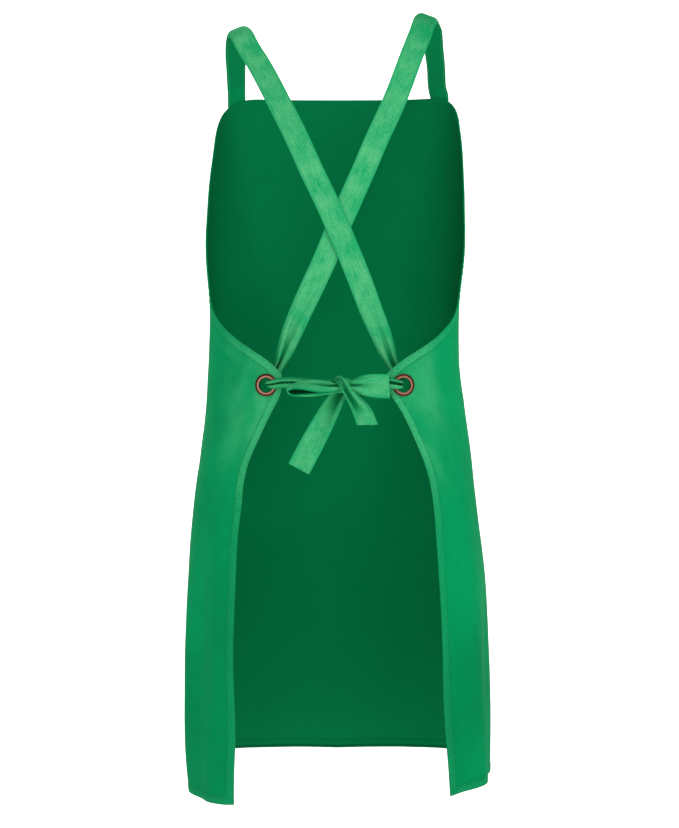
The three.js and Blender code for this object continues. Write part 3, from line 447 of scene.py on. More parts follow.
def make_mesh(name, points, faces):
    """A smooth mesh in metres from points in millimetres over the hem and rows of four corners."""
    placed = (points - np.array([0, 0, ORIGIN_HEIGHT])) * MM
    mesh = bpy.data.meshes.new(name)
    mesh.vertices.add(len(placed))
    mesh.vertices.foreach_set("co", placed.astype(np.float32).ravel())
    mesh.loops.add(faces.size)
    mesh.loops.foreach_set("vertex_index", faces.ravel().astype(np.int32))
    mesh.polygons.add(len(faces))
    mesh.polygons.foreach_set("loop_start", np.arange(0, faces.size, 4, dtype=np.int32))
    mesh.update(calc_edges=True)
    mesh.polygons.foreach_set("use_smooth", np.ones(len(faces), bool))
    return mesh


def make_piece(name, slot, replaced, points, faces, uv=None, **marks):
    """An object of the points that its faces use, turned so that the faces look out. It gets one number at
    each point for each mark: inner is 1 on its inner face, edge is the distance to the edge of the cloth and
    worn is how pale it is painted, partly for rubbing and partly as painted highlight and shade. It rides on
    the one body and takes the place of the plain solid that is named. slot is not used."""
    used, faces = np.unique(faces, return_inverse=True)
    faces, points = faces.reshape(-1, 4), points[used]
    if signed_volume(points, faces) < 0:
        faces = faces[:, ::-1]
    mesh = make_mesh(name, points, faces)
    if uv is not None:
        layer = mesh.uv_layers.new(name="cloth")
        layer.data.foreach_set("uv", (uv[used][faces.ravel()] * MM).astype(np.float32).ravel())
    for label, values in marks.items():
        attribute = mesh.attributes.new(label, "FLOAT", "POINT")
        attribute.data.foreach_set("value", values[used].astype(np.float32))
    mesh.validate()
    piece = bpy.data.objects.new(name, mesh)
    bpy.context.collection.objects.link(piece)
    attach(piece, "root")
    if replaced:
        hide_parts(replaced)
    print(f"{name}: {len(points)} points, {len(faces)} faces")
    return piece


def grid_normals(points):
    """The way that each point of a grid faces, from the differences to its neighbours in both directions."""
    rows, cols = np.gradient(points, axis=0), np.gradient(points, axis=1)
    return unit(np.cross(cols, rows))


# %% [markdown]
# ## The panel
#
# The grid follows the cloth: its columns are shares of the way to the edge, with the last ones at fixed
# distances from it, so the hem keeps its width. A sewn hem is two more layers on the inside, held by two
# rows of stitches, and the thread draws the cloth in, so it puckers between the stitches.

# %% Rows and columns of the panel
HEM_PLACES = np.array([10.9, 10.0, 8.6, 7.6, 5.0, 2.6, 1.6, 0.7, 0.0])
COLUMNS = 88
LAST_COLUMN_GAP = 1.5
ROW_STRETCHES = [
    # lowest, highest, rows
    (15, EYELET_HEIGHT - 16, 104),
    (EYELET_HEIGHT - 12, CORNER_HEIGHT, 7),
    (CORNER_HEIGHT + 3.4, PANEL_LENGTH - 40, 74),
    (PANEL_LENGTH - 36, PANEL_LENGTH - 13, 9),
]
SLANT_REACH = 5.0
SHORTEST_RUN = 1.0
WIDEST_HEM = 2.6


def hem_stretch(side, z):
    """How much wider the hem is along a row than across the edge, where the edge runs at a slant: the
    hypotenuse over 1 and the edge's slope, within a limit."""
    below, above = z - SLANT_REACH, z + SLANT_REACH
    low = np.where(z < CORNER_HEIGHT, below, np.maximum(below, CORNER_HEIGHT))
    high = np.where(z < CORNER_HEIGHT, np.minimum(above, CORNER_HEIGHT), above)
    low, high = np.maximum(low, 0), np.minimum(high, PANEL_LENGTH - BIB_CORNER[side])
    run = np.maximum(high - low, SHORTEST_RUN / 2)
    slope = (half_length(side, high) - half_length(side, low)) / run
    return np.where(high - low < SHORTEST_RUN, 1.0, np.minimum(np.hypot(1, slope), WIDEST_HEM))


def panel_rows():
    """Heights of the rows: close in the hems and at the bib's corners, even between them."""
    stretches = [np.linspace(low, high, count) for low, high, count in ROW_STRETCHES]
    return np.concatenate([HEM_PLACES[::-1], *stretches, PANEL_LENGTH - HEM_PLACES])


def panel_columns(side, rows):
    """Lengths from the middle to each column of one side, a row of the grid for each height."""
    whole = half_length(side, rows)[:, None]
    hem = HEM_PLACES[None, :] * hem_stretch(side, rows)[:, None]
    inner = whole - hem[:, :1] - LAST_COLUMN_GAP
    share = np.linspace(0, 1, COLUMNS)[None, :]
    return np.concatenate([inner * share, whole - hem], axis=1)


rows = panel_rows()
left_columns, right_columns = panel_columns(LEFT, rows), panel_columns(RIGHT, rows)
across = np.concatenate([-right_columns[:, :0:-1], left_columns], axis=1)
height = np.repeat(rows[:, None], across.shape[1], axis=1)
print("panel grid:", across.shape)

# %% Open the grid for the eyelets
HOLE_CELLS = 2
HOLE_REACH = 8
HOLE_LIMIT = 17.6
HOLE_IN_CLOTH = HOLE_RADIUS + BARREL_WALL + 0.3


def open_hole(across, height, side):
    """Takes a block of cells out of the grid and makes the gap round. Each point round it keeps its
    direction from the eyelet's middle, and its distance, which lies between the block and an outer limit, is
    stretched evenly to lie between the hole's radius and the same limit."""
    x0, z0 = side * EYELETS[side]["length"], EYELET_HEIGHT
    away = np.hypot(across - x0, height - z0)
    r, c = np.unravel_index(np.argmin(away), away.shape)
    reach = np.arange(-HOLE_REACH, HOLE_REACH + 1)
    near = np.ix_(r + reach, c + reach)
    ring = np.maximum(np.abs(reach)[:, None], np.abs(reach))
    angle, far = np.arctan2(height[near] - z0, across[near] - x0), away[near]
    rim = ring == HOLE_CELLS
    order = np.argsort(angle[rim])
    block = np.interp(angle, angle[rim][order], far[rim][order], period=2 * np.pi)
    stretched = HOLE_IN_CLOTH + (far - block) * (HOLE_LIMIT - HOLE_IN_CLOTH) / (HOLE_LIMIT - block)
    moved = np.where((ring >= HOLE_CELLS) & (far < HOLE_LIMIT), stretched, far)
    across[near] = x0 + moved * np.cos(angle)
    height[near] = z0 + moved * np.sin(angle)
    hole = np.zeros((across.shape[0] - 1, across.shape[1] - 1), bool)
    hole[r - HOLE_CELLS : r + HOLE_CELLS, c - HOLE_CELLS : c + HOLE_CELLS] = True
    return hole


kept = ~open_hole(across, height, LEFT) & ~open_hole(across, height, RIGHT)
height = np.clip(height, 0, PANEL_LENGTH)
print("cells taken out for the eyelets:", (~kept).sum())

# %% The edges of the cloth
WING_POINTS = 200
ARMHOLE_POINTS = 140
TURN_POINTS = 24
TURN_START = 0.06
EDGE_REACH = 45.0


def side_line(side):
    """The side edge of the cloth, up the wing and the armhole and round the bib's corner, in cloth
    coordinates."""
    round_start = PANEL_LENGTH - BIB_CORNER[side]
    wing = np.linspace(0, CORNER_HEIGHT - 1e-6, WING_POINTS)
    armhole = np.linspace(CORNER_HEIGHT, round_start, ARMHOLE_POINTS)
    turn = round_start + BIB_CORNER[side] * np.sin(np.linspace(TURN_START, 0.5 * np.pi, TURN_POINTS))
    z = np.concatenate([wing, armhole, turn])
    return np.stack([side * half_length(side, z), z], axis=-1)


SIDE_LINES = {side: side_line(side) for side in (LEFT, RIGHT)}


def line_distance(x, z, line):
    """How far points are from a line of straight pieces: each is dropped square onto every piece."""
    start, run = line[:-1], np.diff(line, axis=0)
    px, pz = x[:, None] - start[:, 0], z[:, None] - start[:, 1]
    share = np.clip((px * run[:, 0] + pz * run[:, 1]) / (run**2).sum(axis=1), 0, 1)
    return np.hypot(px - share * run[:, 0], pz - share * run[:, 1]).min(axis=1)


def edge_distance(across, height):
    """How far each point of the panel is from the nearest edge of the cloth."""
    distance = np.minimum(height, PANEL_LENGTH - height)
    for side in (LEFT, RIGHT):
        near = (half_length(side, height) - side * across < EDGE_REACH) & (side * across > 0)
        found = line_distance(across[near], height[near], SIDE_LINES[side])
        distance[near] = np.minimum(distance[near], found)
    return distance


# %% The hem and its puckers
PUCKER_WAVE = 8.2
PUCKER_HEIGHT = 0.55
PUCKER_MIDDLE = 6.5
PUCKER_SPREAD = 4.5
HEM_LAYERS = {
    # face: what the hem's layers add, how deep the outer and the inner row of stitches draw it in
    "outer": (0.35, 0.3, 0.45),
    "inner": (0.5, 0.25, 0.3),
}


def bell(x, middle, spread):
    """A bell curve: 1 at the middle, and e to the power minus the square of the distance in spreads."""
    return np.exp(-(((x - middle) / spread) ** 2))


def pucker(along, row):
    """Puckers along a seam: short waves whose phase and height drift with slower waves of uneven lengths."""
    drift = np.sin(along / 31.0 + row) + 0.6 * np.sin(along / 13.7 + 2 * row)
    swell = 0.65 + 0.35 * np.sin(along / 23.0 + 1.3 * row)
    return np.sin(2 * np.pi * along / PUCKER_WAVE + 1.7 * drift) * swell


def cloth_normal(across, z):
    """The way that the cloth's outer face looks, from small steps across and up."""
    low, high = np.maximum(z - SMALL_STEP, 0), np.minimum(z + SMALL_STEP, PANEL_LENGTH)
    beside = cloth(across + SMALL_STEP, z) - cloth(across - SMALL_STEP, z)
    return unit(np.cross(beside, cloth(across, high) - cloth(across, low)))


def hem_shape(across, z):
    """The pucker of the hem, how far its outer and inner faces stand from the cloth's middle, and the
    distance to the edge. The seam stands proud between its two rows of stitches and is drawn in at each."""
    distance = edge_distance(across, z)
    hem = 1 - smooth(distance, HEM_WIDTH - 0.2, HEM_WIDTH + 0.8)
    outer_row, inner_row = bell(distance, STITCH_EDGE, 0.7), bell(distance, STITCH_INNER, 0.8)
    level = np.minimum(z, PANEL_LENGTH - z) <= distance + 1e-6
    wave = pucker(np.where(level, across, z), np.sign(across)) * PUCKER_HEIGHT
    wave = wave * bell(distance, PUCKER_MIDDLE, PUCKER_SPREAD)
    raised, lowered = (
        CLOTH / 2 + layers * hem - outer * outer_row - inner * inner_row
        for layers, outer, inner in HEM_LAYERS.values()
    )
    return wave, raised, lowered, distance


def panel_faces(across, z):
    """Points of the panel's outer and inner faces, the way that the outer one looks, and the edge's
    distance."""
    normal = cloth_normal(across, z)
    wave, raised, lowered, distance = hem_shape(across, z)
    middle = cloth(across, z) + normal * wave[..., None]
    return middle + normal * raised[..., None], middle - normal * lowered[..., None], normal, distance


# %% Make the panel
# Sizes of the pale patches on the wings, which are rubbed and partly a painted highlight.
WEAR_AND_HIGHLIGHT_ROUND = 56.0
WEAR_AND_HIGHLIGHT_FLAT = 0.7
WEAR_AND_HIGHLIGHT_EDGE = 50.0
WEAR_AND_HIGHLIGHT_EDGE_SHARE = 0.9
WEAR_AND_HIGHLIGHT_HEIGHTS = (300.0, 470.0)
WEAR_AND_HIGHLIGHT_ABOVE = 60.0
WING_START = 100.0


def wear_and_highlight_share(across, z, distance):
    """Where the wings are painted pale, rubbed and partly a painted highlight: around each eyelet, and below
    it along the edge, as bell curves.
    """
    share = np.zeros(across.shape)
    for side in (LEFT, RIGHT):
        away = np.hypot(side * across - EYELETS[side]["length"], (z - EYELET_HEIGHT) * WEAR_AND_HIGHLIGHT_FLAT)
        below = bell(distance, 0, WEAR_AND_HIGHLIGHT_EDGE) * smooth(z, *WEAR_AND_HIGHLIGHT_HEIGHTS) * (side * across > WING_START)
        share = np.maximum(share, np.maximum(bell(away, 0, WEAR_AND_HIGHLIGHT_ROUND), WEAR_AND_HIGHLIGHT_EDGE_SHARE * below))
    return share * (1 - smooth(z, CORNER_HEIGHT, CORNER_HEIGHT + WEAR_AND_HIGHLIGHT_ABOVE))


def make_panel():
    """Both faces of the cloth on the grid, with its open holes."""
    outer, inner, _, distance = panel_faces(across, height)
    points, faces = two_faced(outer, inner, kept)
    uv = np.tile(np.stack([across, height], axis=-1).reshape(-1, 2), (2, 1))
    marks = {
        "inner": np.repeat([0.0, 1.0], across.size),
        "edge": np.tile(distance.ravel(), 2),
        "worn": np.tile(wear_and_highlight_share(across, height, distance).ravel(), 2),
    }
    return make_piece("panel_cloth", "drill", "apron_panel", points, faces, uv, **marks)


panel = make_panel()

# %% [markdown]
# ## Straps and bow
#
# A strap is a flat band of folded and stitched drill. Its route is a table of stations: where it is, which
# way its outer side looks, and how much of its width is left where it is gathered. A gathered band stands in
# pleats whose legs keep its real width.

# %% Stations of the straps
STRAP_ROUTE = {
    LEFT: [
        # across, out, up, facing, tilt, gather, over
        (1.083, -0.825, 0.835, 16, 36, 1, 0),
        (1.077, -0.7, 0.877, 36, 32, 1, 0),
        (1.067, -0.4, 0.932, 56, 27, 1, 0),
        (1.053, -0.18, 0.968, 74, 23, 1, 0),
        (1.03, 0.01, 0.979, 94, 20, 1, 0),
        (0.975, 0.16, 0.958, 114, 18, 1, 0),
        (0.905, 0.28, 0.92, 128, 15, 1, 0),
        (0.795, 0.42, 0.871, 140, 12, 1, 0),
        (0.575, 0.71, 0.757, 156, 7, 1, 0),
        (0.385, 0.89, 0.653, 168, 3, 1, 0),
        (0.233, 0.96, 0.562, 175, 0, 1, 0.5),
        (0.1, 0.99, 0.488, 178, 0, 1, 1),
        (-0.02, 1.0, 0.416, 180, 0, 1, 1),
        (-0.135, 1.0, 0.344, 180, 0, 1, 1),
        (-0.245, 0.99, 0.27, 180, 0, 1, 0.5),
        (-0.345, 0.98, 0.198, 180, 0, 0.97, 0),
        (-0.43, 0.965, 0.143, 180, 0, 0.9, 0),
        (-0.505, 0.935, 0.09, 180, 0, 0.74, 0),
        (-0.57, 0.905, 0.05, 180, 0, 0.52, 0),
    ],
    RIGHT: [
        (-1.09, -0.82, 0.835, 14, -36, 1, 0),
        (-1.07, -0.7, 0.884, 34, -32, 1, 0),
        (-1.025, -0.42, 0.949, 54, -27, 1, 0),
        (-0.99, -0.19, 1.0, 74, -22, 1, 0),
        (-0.955, 0.0, 1.015, 94, -20, 1, 0),
        (-0.91, 0.15, 0.996, 114, -17, 1, 0),
        (-0.86, 0.27, 0.958, 128, -15, 1, 0),
        (-0.78, 0.42, 0.903, 140, -12, 1, 0),
        (-0.575, 0.71, 0.757, 156, -7, 1, 0),
        (-0.4, 0.88, 0.653, 168, -3, 1, 0),
        (-0.265, 0.95, 0.568, 175, 0, 1, 0),
        (-0.14, 0.985, 0.492, 178, 0, 1, 0),
        (-0.017, 0.99, 0.418, 180, 0, 1, 0),
        (0.117, 0.99, 0.331, 180, 0, 1, 0),
        (0.235, 0.985, 0.263, 180, 0, 1, 0),
        (0.35, 0.98, 0.196, 180, 0, 0.95, 0),
        (0.435, 0.965, 0.143, 180, 0, 0.88, 0),
        (0.51, 0.935, 0.09, 180, 0, 0.72, 0),
        (0.575, 0.905, 0.05, 180, 0, 0.52, 0),
    ],
}
THROUGH_EYELET = [
    # inward, out, up, turn, gather
    (0.1, -0.85, 0.36, 25, 0.46),
    (0.18, -0.48, 0.06, 60, 0.4),
    (0.25, 0.0, 0.02, 66, 0.36),
    (0.4, 0.37, 0.06, 54, 0.38),
    (0.78, 0.6, 0.12, 22, 0.42),
    (1.5, 0.6, 0.22, 5, 0.45),
]
print("stations of a strap:", len(STRAP_ROUTE[LEFT]), "over the back,", len(THROUGH_EYELET), "at its eyelet")

# %% Tables of the bow
LOOPS = {
    LEFT: [
        # along, out, up, facing, tilt, gather
        (0.02, 0.1, 0.02, 160, 0, 0.36),
        (0.1, 0.24, -0.02, 156, 0, 0.4),
        (0.2, 0.4, -0.02, 150, 0, 0.48),
        (0.38, 0.54, 0.02, 138, 0, 0.66),
        (0.6, 0.62, 0.08, 120, 0, 0.82),
        (0.8, 0.68, 0.08, 105, 6, 0.9),
        (0.94, 0.72, -0.02, 98, 40, 0.94),
        (1.0, 0.72, -0.14, 98, 90, 0.95),
        (0.95, 0.72, -0.26, 99, 145, 0.94),
        (0.8, 0.66, -0.31, 100, 172, 0.9),
        (0.58, 0.56, -0.29, 104, 180, 0.8),
        (0.36, 0.4, -0.22, 110, 180, 0.62),
        (0.2, 0.24, -0.18, 116, 180, 0.46),
        (0.1, 0.1, -0.16, 120, 180, 0.38),
        (0.02, 0.04, -0.15, 120, 180, 0.36),
    ],
    RIGHT: [
        (0.02, 0.1, 0.02, 180, 0, 0.4),
        (0.12, 0.2, 0.03, 180, 0, 0.44),
        (0.24, 0.32, 0.03, 180, 0, 0.6),
        (0.44, 0.38, 0.03, 180, 0, 0.86),
        (0.7, 0.36, 0.02, 180, 4, 0.985),
        (0.93, 0.33, 0.0, 180, -22, 1.0),
        (1.0, 0.23, -0.01, 180, -90, 1.0),
        (0.93, 0.13, -0.04, 180, -160, 1.0),
        (0.7, 0.08, -0.07, 180, -180, 0.97),
        (0.44, 0.06, -0.06, 180, -180, 0.84),
        (0.24, 0.03, -0.03, 180, -180, 0.62),
        (0.12, -0.02, 0.0, 180, -180, 0.46),
        (0.02, -0.1, 0.01, 180, -180, 0.42),
    ],
}
END_LONG = [
    # aside, out, down, facing, tilt, gather
    (-0.01, -0.06, 0.03, 180, 0, 0.46),
    (0.04, -0.02, 0.1, 180, 8, 0.62),
    (0.125, 0.08, 0.24, 180, 12, 0.8),
    (0.225, 0.15, 0.42, 180, 8, 0.92),
    (0.365, 0.18, 0.68, 180, 4, 1.0),
    (0.48, 0.16, 0.9, 180, 0, 1.0),
]
END_SHORT = [
    # aside, out, down, facing, tilt, gather
    (0.17, -0.06, -0.03, 70, 25, 0.42),
    (0.1, 0.16, -0.11, 112, 12, 0.44),
    (0.01, 0.34, -0.07, 150, 0, 0.46),
    (-0.08, 0.41, 0.05, 178, 0, 0.48),
    (-0.18, 0.37, 0.2, 188, 0, 0.54),
    (-0.29, 0.32, 0.36, 188, -10, 0.7),
    (-0.4, 0.28, 0.55, 184, -28, 0.92),
    (-0.48, 0.26, 0.76, 180, -36, 1.0),
]

# %% From a station to a point, a look and a gather
AIR = 0.3
LAYER_AIR = 0.5
HEART_GATHER = 0.36


def look_of(facing, tilt):
    """The way that a band's outer side looks: facing turns it from the front over the top to the back, and
    tilt turns it to the wearer's left."""
    facing, tilt = np.radians(facing), np.radians(tilt)
    return np.array([np.sin(tilt), -np.cos(facing) * np.cos(tilt), np.sin(facing) * np.cos(tilt)])


def foot_stations(side):
    """The strap's sewn foot, on the outer face of the bib, at one length from the middle."""
    length = edge_length(side, PANEL_LENGTH) - FOOT_INSET
    stations = []
    for z in PANEL_LENGTH - STRAP_FOOT * np.array([1.0, 2 / 3, 1 / 3, 0.0]):
        here, ahead = form(side, np.array(z), np.array([length, length + SMALL_STEP]))
        facing = unit(np.array([side * (ahead - here)[1], -side * (ahead - here)[0], 0]))
        stations.append((here + facing * (CLOTH + AIR + STRAP_THICKNESS / 2), facing, 1.0))
    return stations


def strap_stations(side):
    """The whole route of a strap: foot, shoulder, back, eyelet and tie."""
    stations = foot_stations(side)
    layer = STRAP_THICKNESS + LAYER_AIR
    for x, out, up, facing, tilt, gather, over in STRAP_ROUTE[side]:
        look = look_of(facing, tilt)
        z = EYELET_HEIGHT + up * (ORIGIN_HEIGHT - EYELET_HEIGHT)
        point = np.array([x * SHOULDER_REACH, out * BACK_REACH, z])
        stations.append((point + look * over * layer, look, gather))
    ring = EYELETS[-side]
    for inward, out, up, turn, gather in THROUGH_EYELET:
        away = ring["inward"] * inward + ring["axis"] * out + ring["up"] * up
        turn = np.radians(turn)
        look = ring["axis"] * np.cos(turn) - ring["inward"] * np.sin(turn)
        stations.append((ring["point"] + away * FLANGE_RADIUS, look, gather))
    heart = knot_middle + [-side, -TIE_BEHIND, 0]
    last, _, gather = stations[-1]
    stations.append(((last + heart) / 2, look_of(180, 0), gather))
    stations.append((heart, look_of(180, 0), HEART_GATHER))
    return stations


# %% Stations of the bow, and even spacing
def bow_stations(table, scale):
    """A loop or an end of the bow, from the middle of the knot: each row's place in parts of the scale."""
    return [
        (knot_middle + np.array(place) * scale, look_of(facing, tilt), gather)
        for *place, facing, tilt, gather in table
    ]


def loop_stations(side):
    """A loop of the bow, leaving the knot to one side and coming back to it."""
    return bow_stations(LOOPS[side], [side * LOOP_LENGTH[side], STRAP_WIDTH, STRAP_WIDTH])


def end_stations(table, length):
    """A hanging end of the bow."""
    return bow_stations(table, [length, STRAP_WIDTH, -length])


def route(stations, spacing):
    """Stations at an even spacing on smooth curves through the given ones: points, looks, gathers and
    lengths."""
    points, looks, gathers = (np.array(column, float) for column in zip(*stations))
    at = lengths_along(points)
    place = np.linspace(0, at[-1], max(int(at[-1] / spacing), 8) + 1)
    curves = [curve_through(at, column, place) for column in (*points.T, *looks.T, gathers)]
    fine, look = np.stack(curves[:3], axis=-1), unit(np.stack(curves[3:6], axis=-1))
    return fine, look, np.minimum(curves[6], 1.0), place


for side in (LEFT, RIGHT):
    print("a strap's route has", len(strap_stations(side)), "stations, its loop's", len(loop_stations(side)))


# %% [markdown]
# ## Pleats
#
# The offset of a pleated band is a wave across its width. For legs of length `l` the width that is left is
# the gather times `l`, and the wave's height is the square root of the rest, so no cloth is lost. The pleats
# of real cloth are uneven, so the wave is warped and its phase drifts along the band.

# %% Across a band
ACROSS = 41
STITCH_COLUMN = 5
EDGE_ROUND = 0.75
END_STITCH = 7.6
CROWN_REACH = 26.0
FRESH_REACH = 60.0
SLANT_LENGTH = 26.0
strap_rows = []


def across_places():
    """Places across a band, in shares of its half width: close at the edges and at the two rows of
    stitches."""
    row = 1 - STRAP_STITCH / (STRAP_WIDTH / 2)
    edge = np.array([row - 0.035, row, row + 0.035, row + 0.075, 0.95, 0.985, 1.0])
    inner = np.linspace(-row + 0.07, row - 0.07, ACROSS - 2 * len(edge))
    return np.concatenate([-edge[::-1], inner, edge])


def pleat_wave(share, s, pleats, valley, seed):
    """Pleats across a band as a cosine with half a wave for each, between about -0.5 and 0.5. Its phase and
    its height drift slowly along the band. valley is 1 where the edges are ridges, and -1 where they are
    valleys."""
    t = share * 0.5 + 0.5
    warp = 0.05 * np.sin(2 * np.pi * t + seed + s / 37.0)
    warp = warp + 0.025 * np.sin(4 * np.pi * t + 2 * seed - s / 23.0)
    swell = 1 + 0.25 * np.sin(5.1 * t + seed + s / 41.0)
    return 0.5 * valley * np.cos(np.pi * pleats * (t + warp)) * swell


def unrest(share, s, gather, seed):
    """Slight slow waves of a band: long ones where it isn't gathered, and short ones everywhere."""
    long_wave = 0.45 * np.sin(s / 19.0 + 2.2 * share + seed) * smooth(gather, 0.5, 0.9)
    return long_wave + 0.22 * np.sin(s / 7.3 + 4.1 * share + 2 * seed)


def half_thickness(from_edge, to_end, hemmed):
    """Half the thickness of a band: rounded at its edges, and thicker in the sewn hem of an end, less at its
    stitches. The stitches along its edges draw it in too."""
    rounded = np.sqrt(np.clip(1 - (1 - np.minimum(from_edge / EDGE_ROUND, 1)) ** 2, 0.12, 1))
    thick = 0.5 * STRAP_THICKNESS * rounded * np.ones_like(to_end)
    if hemmed:
        thick = thick + 0.35 * (1 - smooth(to_end, END_STITCH + 0.9, END_STITCH + 2.4)) * rounded
        thick = thick - 0.2 * bell(to_end, END_STITCH, 0.7)
    return thick - 0.22 * bell(from_edge, STRAP_STITCH, 0.5)


# %% A closed band
def add_strap_rows(middle, shift, normal, last_row):
    """Keeps the points and looks of a band's rows of stitches: two on each face, and one across a hemmed
    end."""
    for column in (STITCH_COLUMN, -1 - STITCH_COLUMN):
        for way in (1, -1):
            strap_rows.append(((middle + way * shift)[:, column], way * normal[:, column]))
    if last_row is not None:
        strap_rows.append(((middle + shift)[last_row, 3:-3], normal[last_row, 3:-3]))


def band_frame(stations, spacing):
    """The middle line of a band with its ways ahead, across and out of its outer side, its gather and its
    lengths, each with an axis of one for the places across."""
    centre, look, gather, along = route(stations, spacing)
    ahead = unit(np.gradient(centre, axis=0))
    side = unit(np.cross(ahead, look))
    return [part[:, None] for part in (centre, ahead, side, unit(np.cross(side, ahead)), gather, along)]


def rubbed_and_shaded_share(pleat, gather, from_top, deepened):
    """How far a band is painted pale: rubbed pale everywhere, less near its top by a given share, and not in
    the valleys of its pleats, which stay deep green as painted shade."""
    # Painted shade: where the band is gathered, the valleys of its pleats keep the deep green.
    valleys = (1 - smooth(gather, 0.65, 1.0)) * np.clip(0.6 - 1.2 * pleat, 0, 1)
    return (1 - valleys) * (1 - deepened * bell(from_top, 0, FRESH_REACH))


def make_band(name, replaced, given, pleats=4, valley=-1, hemmed=False, slant=0.0, crown=0.0, deepened=0.0):
    """A closed band along its route, which is its stations, their spacing and a seed. pleats is the number
    of legs that a gathered part stands in, slant is how obliquely the last end is cut, crown is how far the
    edges droop over the highest place, and the last argument is how much of the rubbing is missing there.
    Pleats are painted pale on their ridges and deep green in their valleys, as painted light and shade."""
    stations, spacing, seed = given
    centre, ahead, side, outward, g, s = band_frame(stations, spacing)
    share, length = across_places()[None, :], s[-1, 0]
    from_top, flat = s - s[np.argmax(centre[..., 2])], share * STRAP_WIDTH / 2
    pleat = pleat_wave(share, s, pleats, valley, seed)
    lift = pleat * STRAP_WIDTH / pleats * np.sqrt(np.maximum(1 - g**2, 0)) + unrest(share, s, g, seed)
    lift = lift - crown * share**4 * bell(from_top, 0, CROWN_REACH)
    cut = slant * flat * smooth(s, length - SLANT_LENGTH, length)
    middle = centre + side * (flat * g)[..., None] + outward * lift[..., None] + ahead * cut[..., None]
    normal = grid_normals(middle)
    normal = normal * np.sign((normal * outward).sum())
    thick = half_thickness((1 - np.abs(share)) * STRAP_WIDTH / 2, length - s, hemmed)
    shift = normal * (thick * (0.55 + 0.45 * smooth(g, 0.35, 0.8)))[..., None]
    # The band is painted pale where rubbed, with painted shade in the valleys of its pleats.
    worn = rubbed_and_shaded_share(pleat, g, from_top, deepened)
    uv = np.stack(np.broadcast_arrays(flat, s), axis=-1).reshape(-1, 2)
    marks = {"inner": np.repeat([0.0, 1.0], len(uv)), "worn": np.tile(worn.ravel(), 2)}
    points, faces = two_faced(middle + shift, middle - shift)
    piece = make_piece(name, "webbing", replaced, points, faces, np.tile(uv, (2, 1)), **marks)
    add_strap_rows(middle, shift, normal, np.searchsorted(s[:, 0], length - END_STITCH) if hemmed else None)
    print(f"  {name} is {length:.0f} mm long")
    return piece


# %% Make the straps and the bow
STRAP_SPACING = 2.5
BOW_SPACING = 1.5
long_route = end_stations(END_LONG, END_LONG_LENGTH)
short_route = end_stations(END_SHORT, END_SHORT_LENGTH)
left_shape = {"crown": 5.5}
right_shape = {"crown": 5.5, "deepened": 0.75}
long_shape = {"hemmed": True, "pleats": 2, "valley": 1}
short_shape = {"hemmed": True, "pleats": 3, "slant": -0.35}
BANDS = [
    # name, the solid replaced, (stations, spacing, seed), shape
    ("strap_left_band", "strap_left", (strap_stations(LEFT), STRAP_SPACING, 0.4), left_shape),
    ("strap_right_band", "strap_right", (strap_stations(RIGHT), STRAP_SPACING, 2.1), right_shape),
    ("loop_left_band", "bow_loop_left", (loop_stations(LEFT), BOW_SPACING, 1.2), {}),
    ("loop_right_band", "bow_loop_right", (loop_stations(RIGHT), BOW_SPACING, 3.3), {}),
    ("tie_end_long_band", "tie_end_long", (long_route, BOW_SPACING, 4.2), long_shape),
    ("tie_end_short_band", "tie_end_short", (short_route, BOW_SPACING, 5.0), short_shape),
]
bands = [make_band(name, replaced, given, **shape) for name, replaced, given, shape in BANDS]

# %% [markdown]
# ## The knot
#
# The knot hides where the bands go, so they are led into one lump. A cube whose faces are pushed out to a
# sphere has even cells and no poles, which a lump with creases all over needs.

# %% Make the knot
def cube_sphere(steps):
    """Directions all round, as unit vectors, and the quadrilaterals between them: a grid on each face of a
    cube is pushed out to the sphere, and the points that two faces share become one."""
    s = np.tan(np.linspace(-np.pi / 4, np.pi / 4, steps + 1))
    u, v = np.meshgrid(s, s, indexing="ij")
    grids, quads = [], []
    index = np.arange((steps + 1) ** 2).reshape(steps + 1, steps + 1)
    quad = np.stack([index[:-1, :-1], index[1:, :-1], index[1:, 1:], index[:-1, 1:]], axis=-1).reshape(-1, 4)
    for axis in range(3):
        for sign in (1, -1):
            grid = np.empty((steps + 1, steps + 1, 3))
            grid[..., axis] = sign
            grid[..., (axis + 1) % 3] = u if sign > 0 else v
            grid[..., (axis + 2) % 3] = v if sign > 0 else u
            quads.append(quad + len(grids) * (steps + 1) ** 2)
            grids.append(grid.reshape(-1, 3))
    points = np.concatenate(grids)
    shared, inverse = np.unique(points.round(6), axis=0, return_inverse=True)
    return unit(shared), inverse.ravel()[np.concatenate(quads)]


WRAP_LEAN = 52.0
WRAP_SPREAD = 0.42
KNOT_POWER = 2.6
CREASE = 0.03


def make_knot():
    """The knot is a rounded lump, a sphere of a power above two, with the last wrap standing out across it.
    The band's creases run along the wrap and, beside it, along the ties."""
    way, faces = cube_sphere(26)
    radius = (np.abs(way) ** KNOT_POWER).sum(axis=-1) ** (-1 / KNOT_POWER)
    lean = np.radians(WRAP_LEAN)
    beside = way[:, 0] * np.cos(lean) + way[:, 2] * np.sin(lean)
    along = way[:, 0] * np.sin(lean) - way[:, 2] * np.cos(lean)
    wrap = np.exp(-((beside / WRAP_SPREAD) ** 4))
    crease = np.cos(24 * beside + 1.5 * along) * wrap + np.cos(15 * along + 2 * beside) * (1 - wrap)
    crease = crease * CREASE
    points = knot_middle + way * (radius * (0.95 + 0.04 * wrap + crease))[:, None] * KNOT / 2
    uv = np.stack([beside, along], axis=-1) * 10
    # Painted light and shade: the knot is painted pale on the crests of its creases and deep green in their
    # hollows.
    worn = np.clip(0.45 + 18 * crease, 0, 1)
    return make_piece("knot_lump", "webbing", "bow_knot", points, faces, uv, worn=worn)


knot = make_knot()

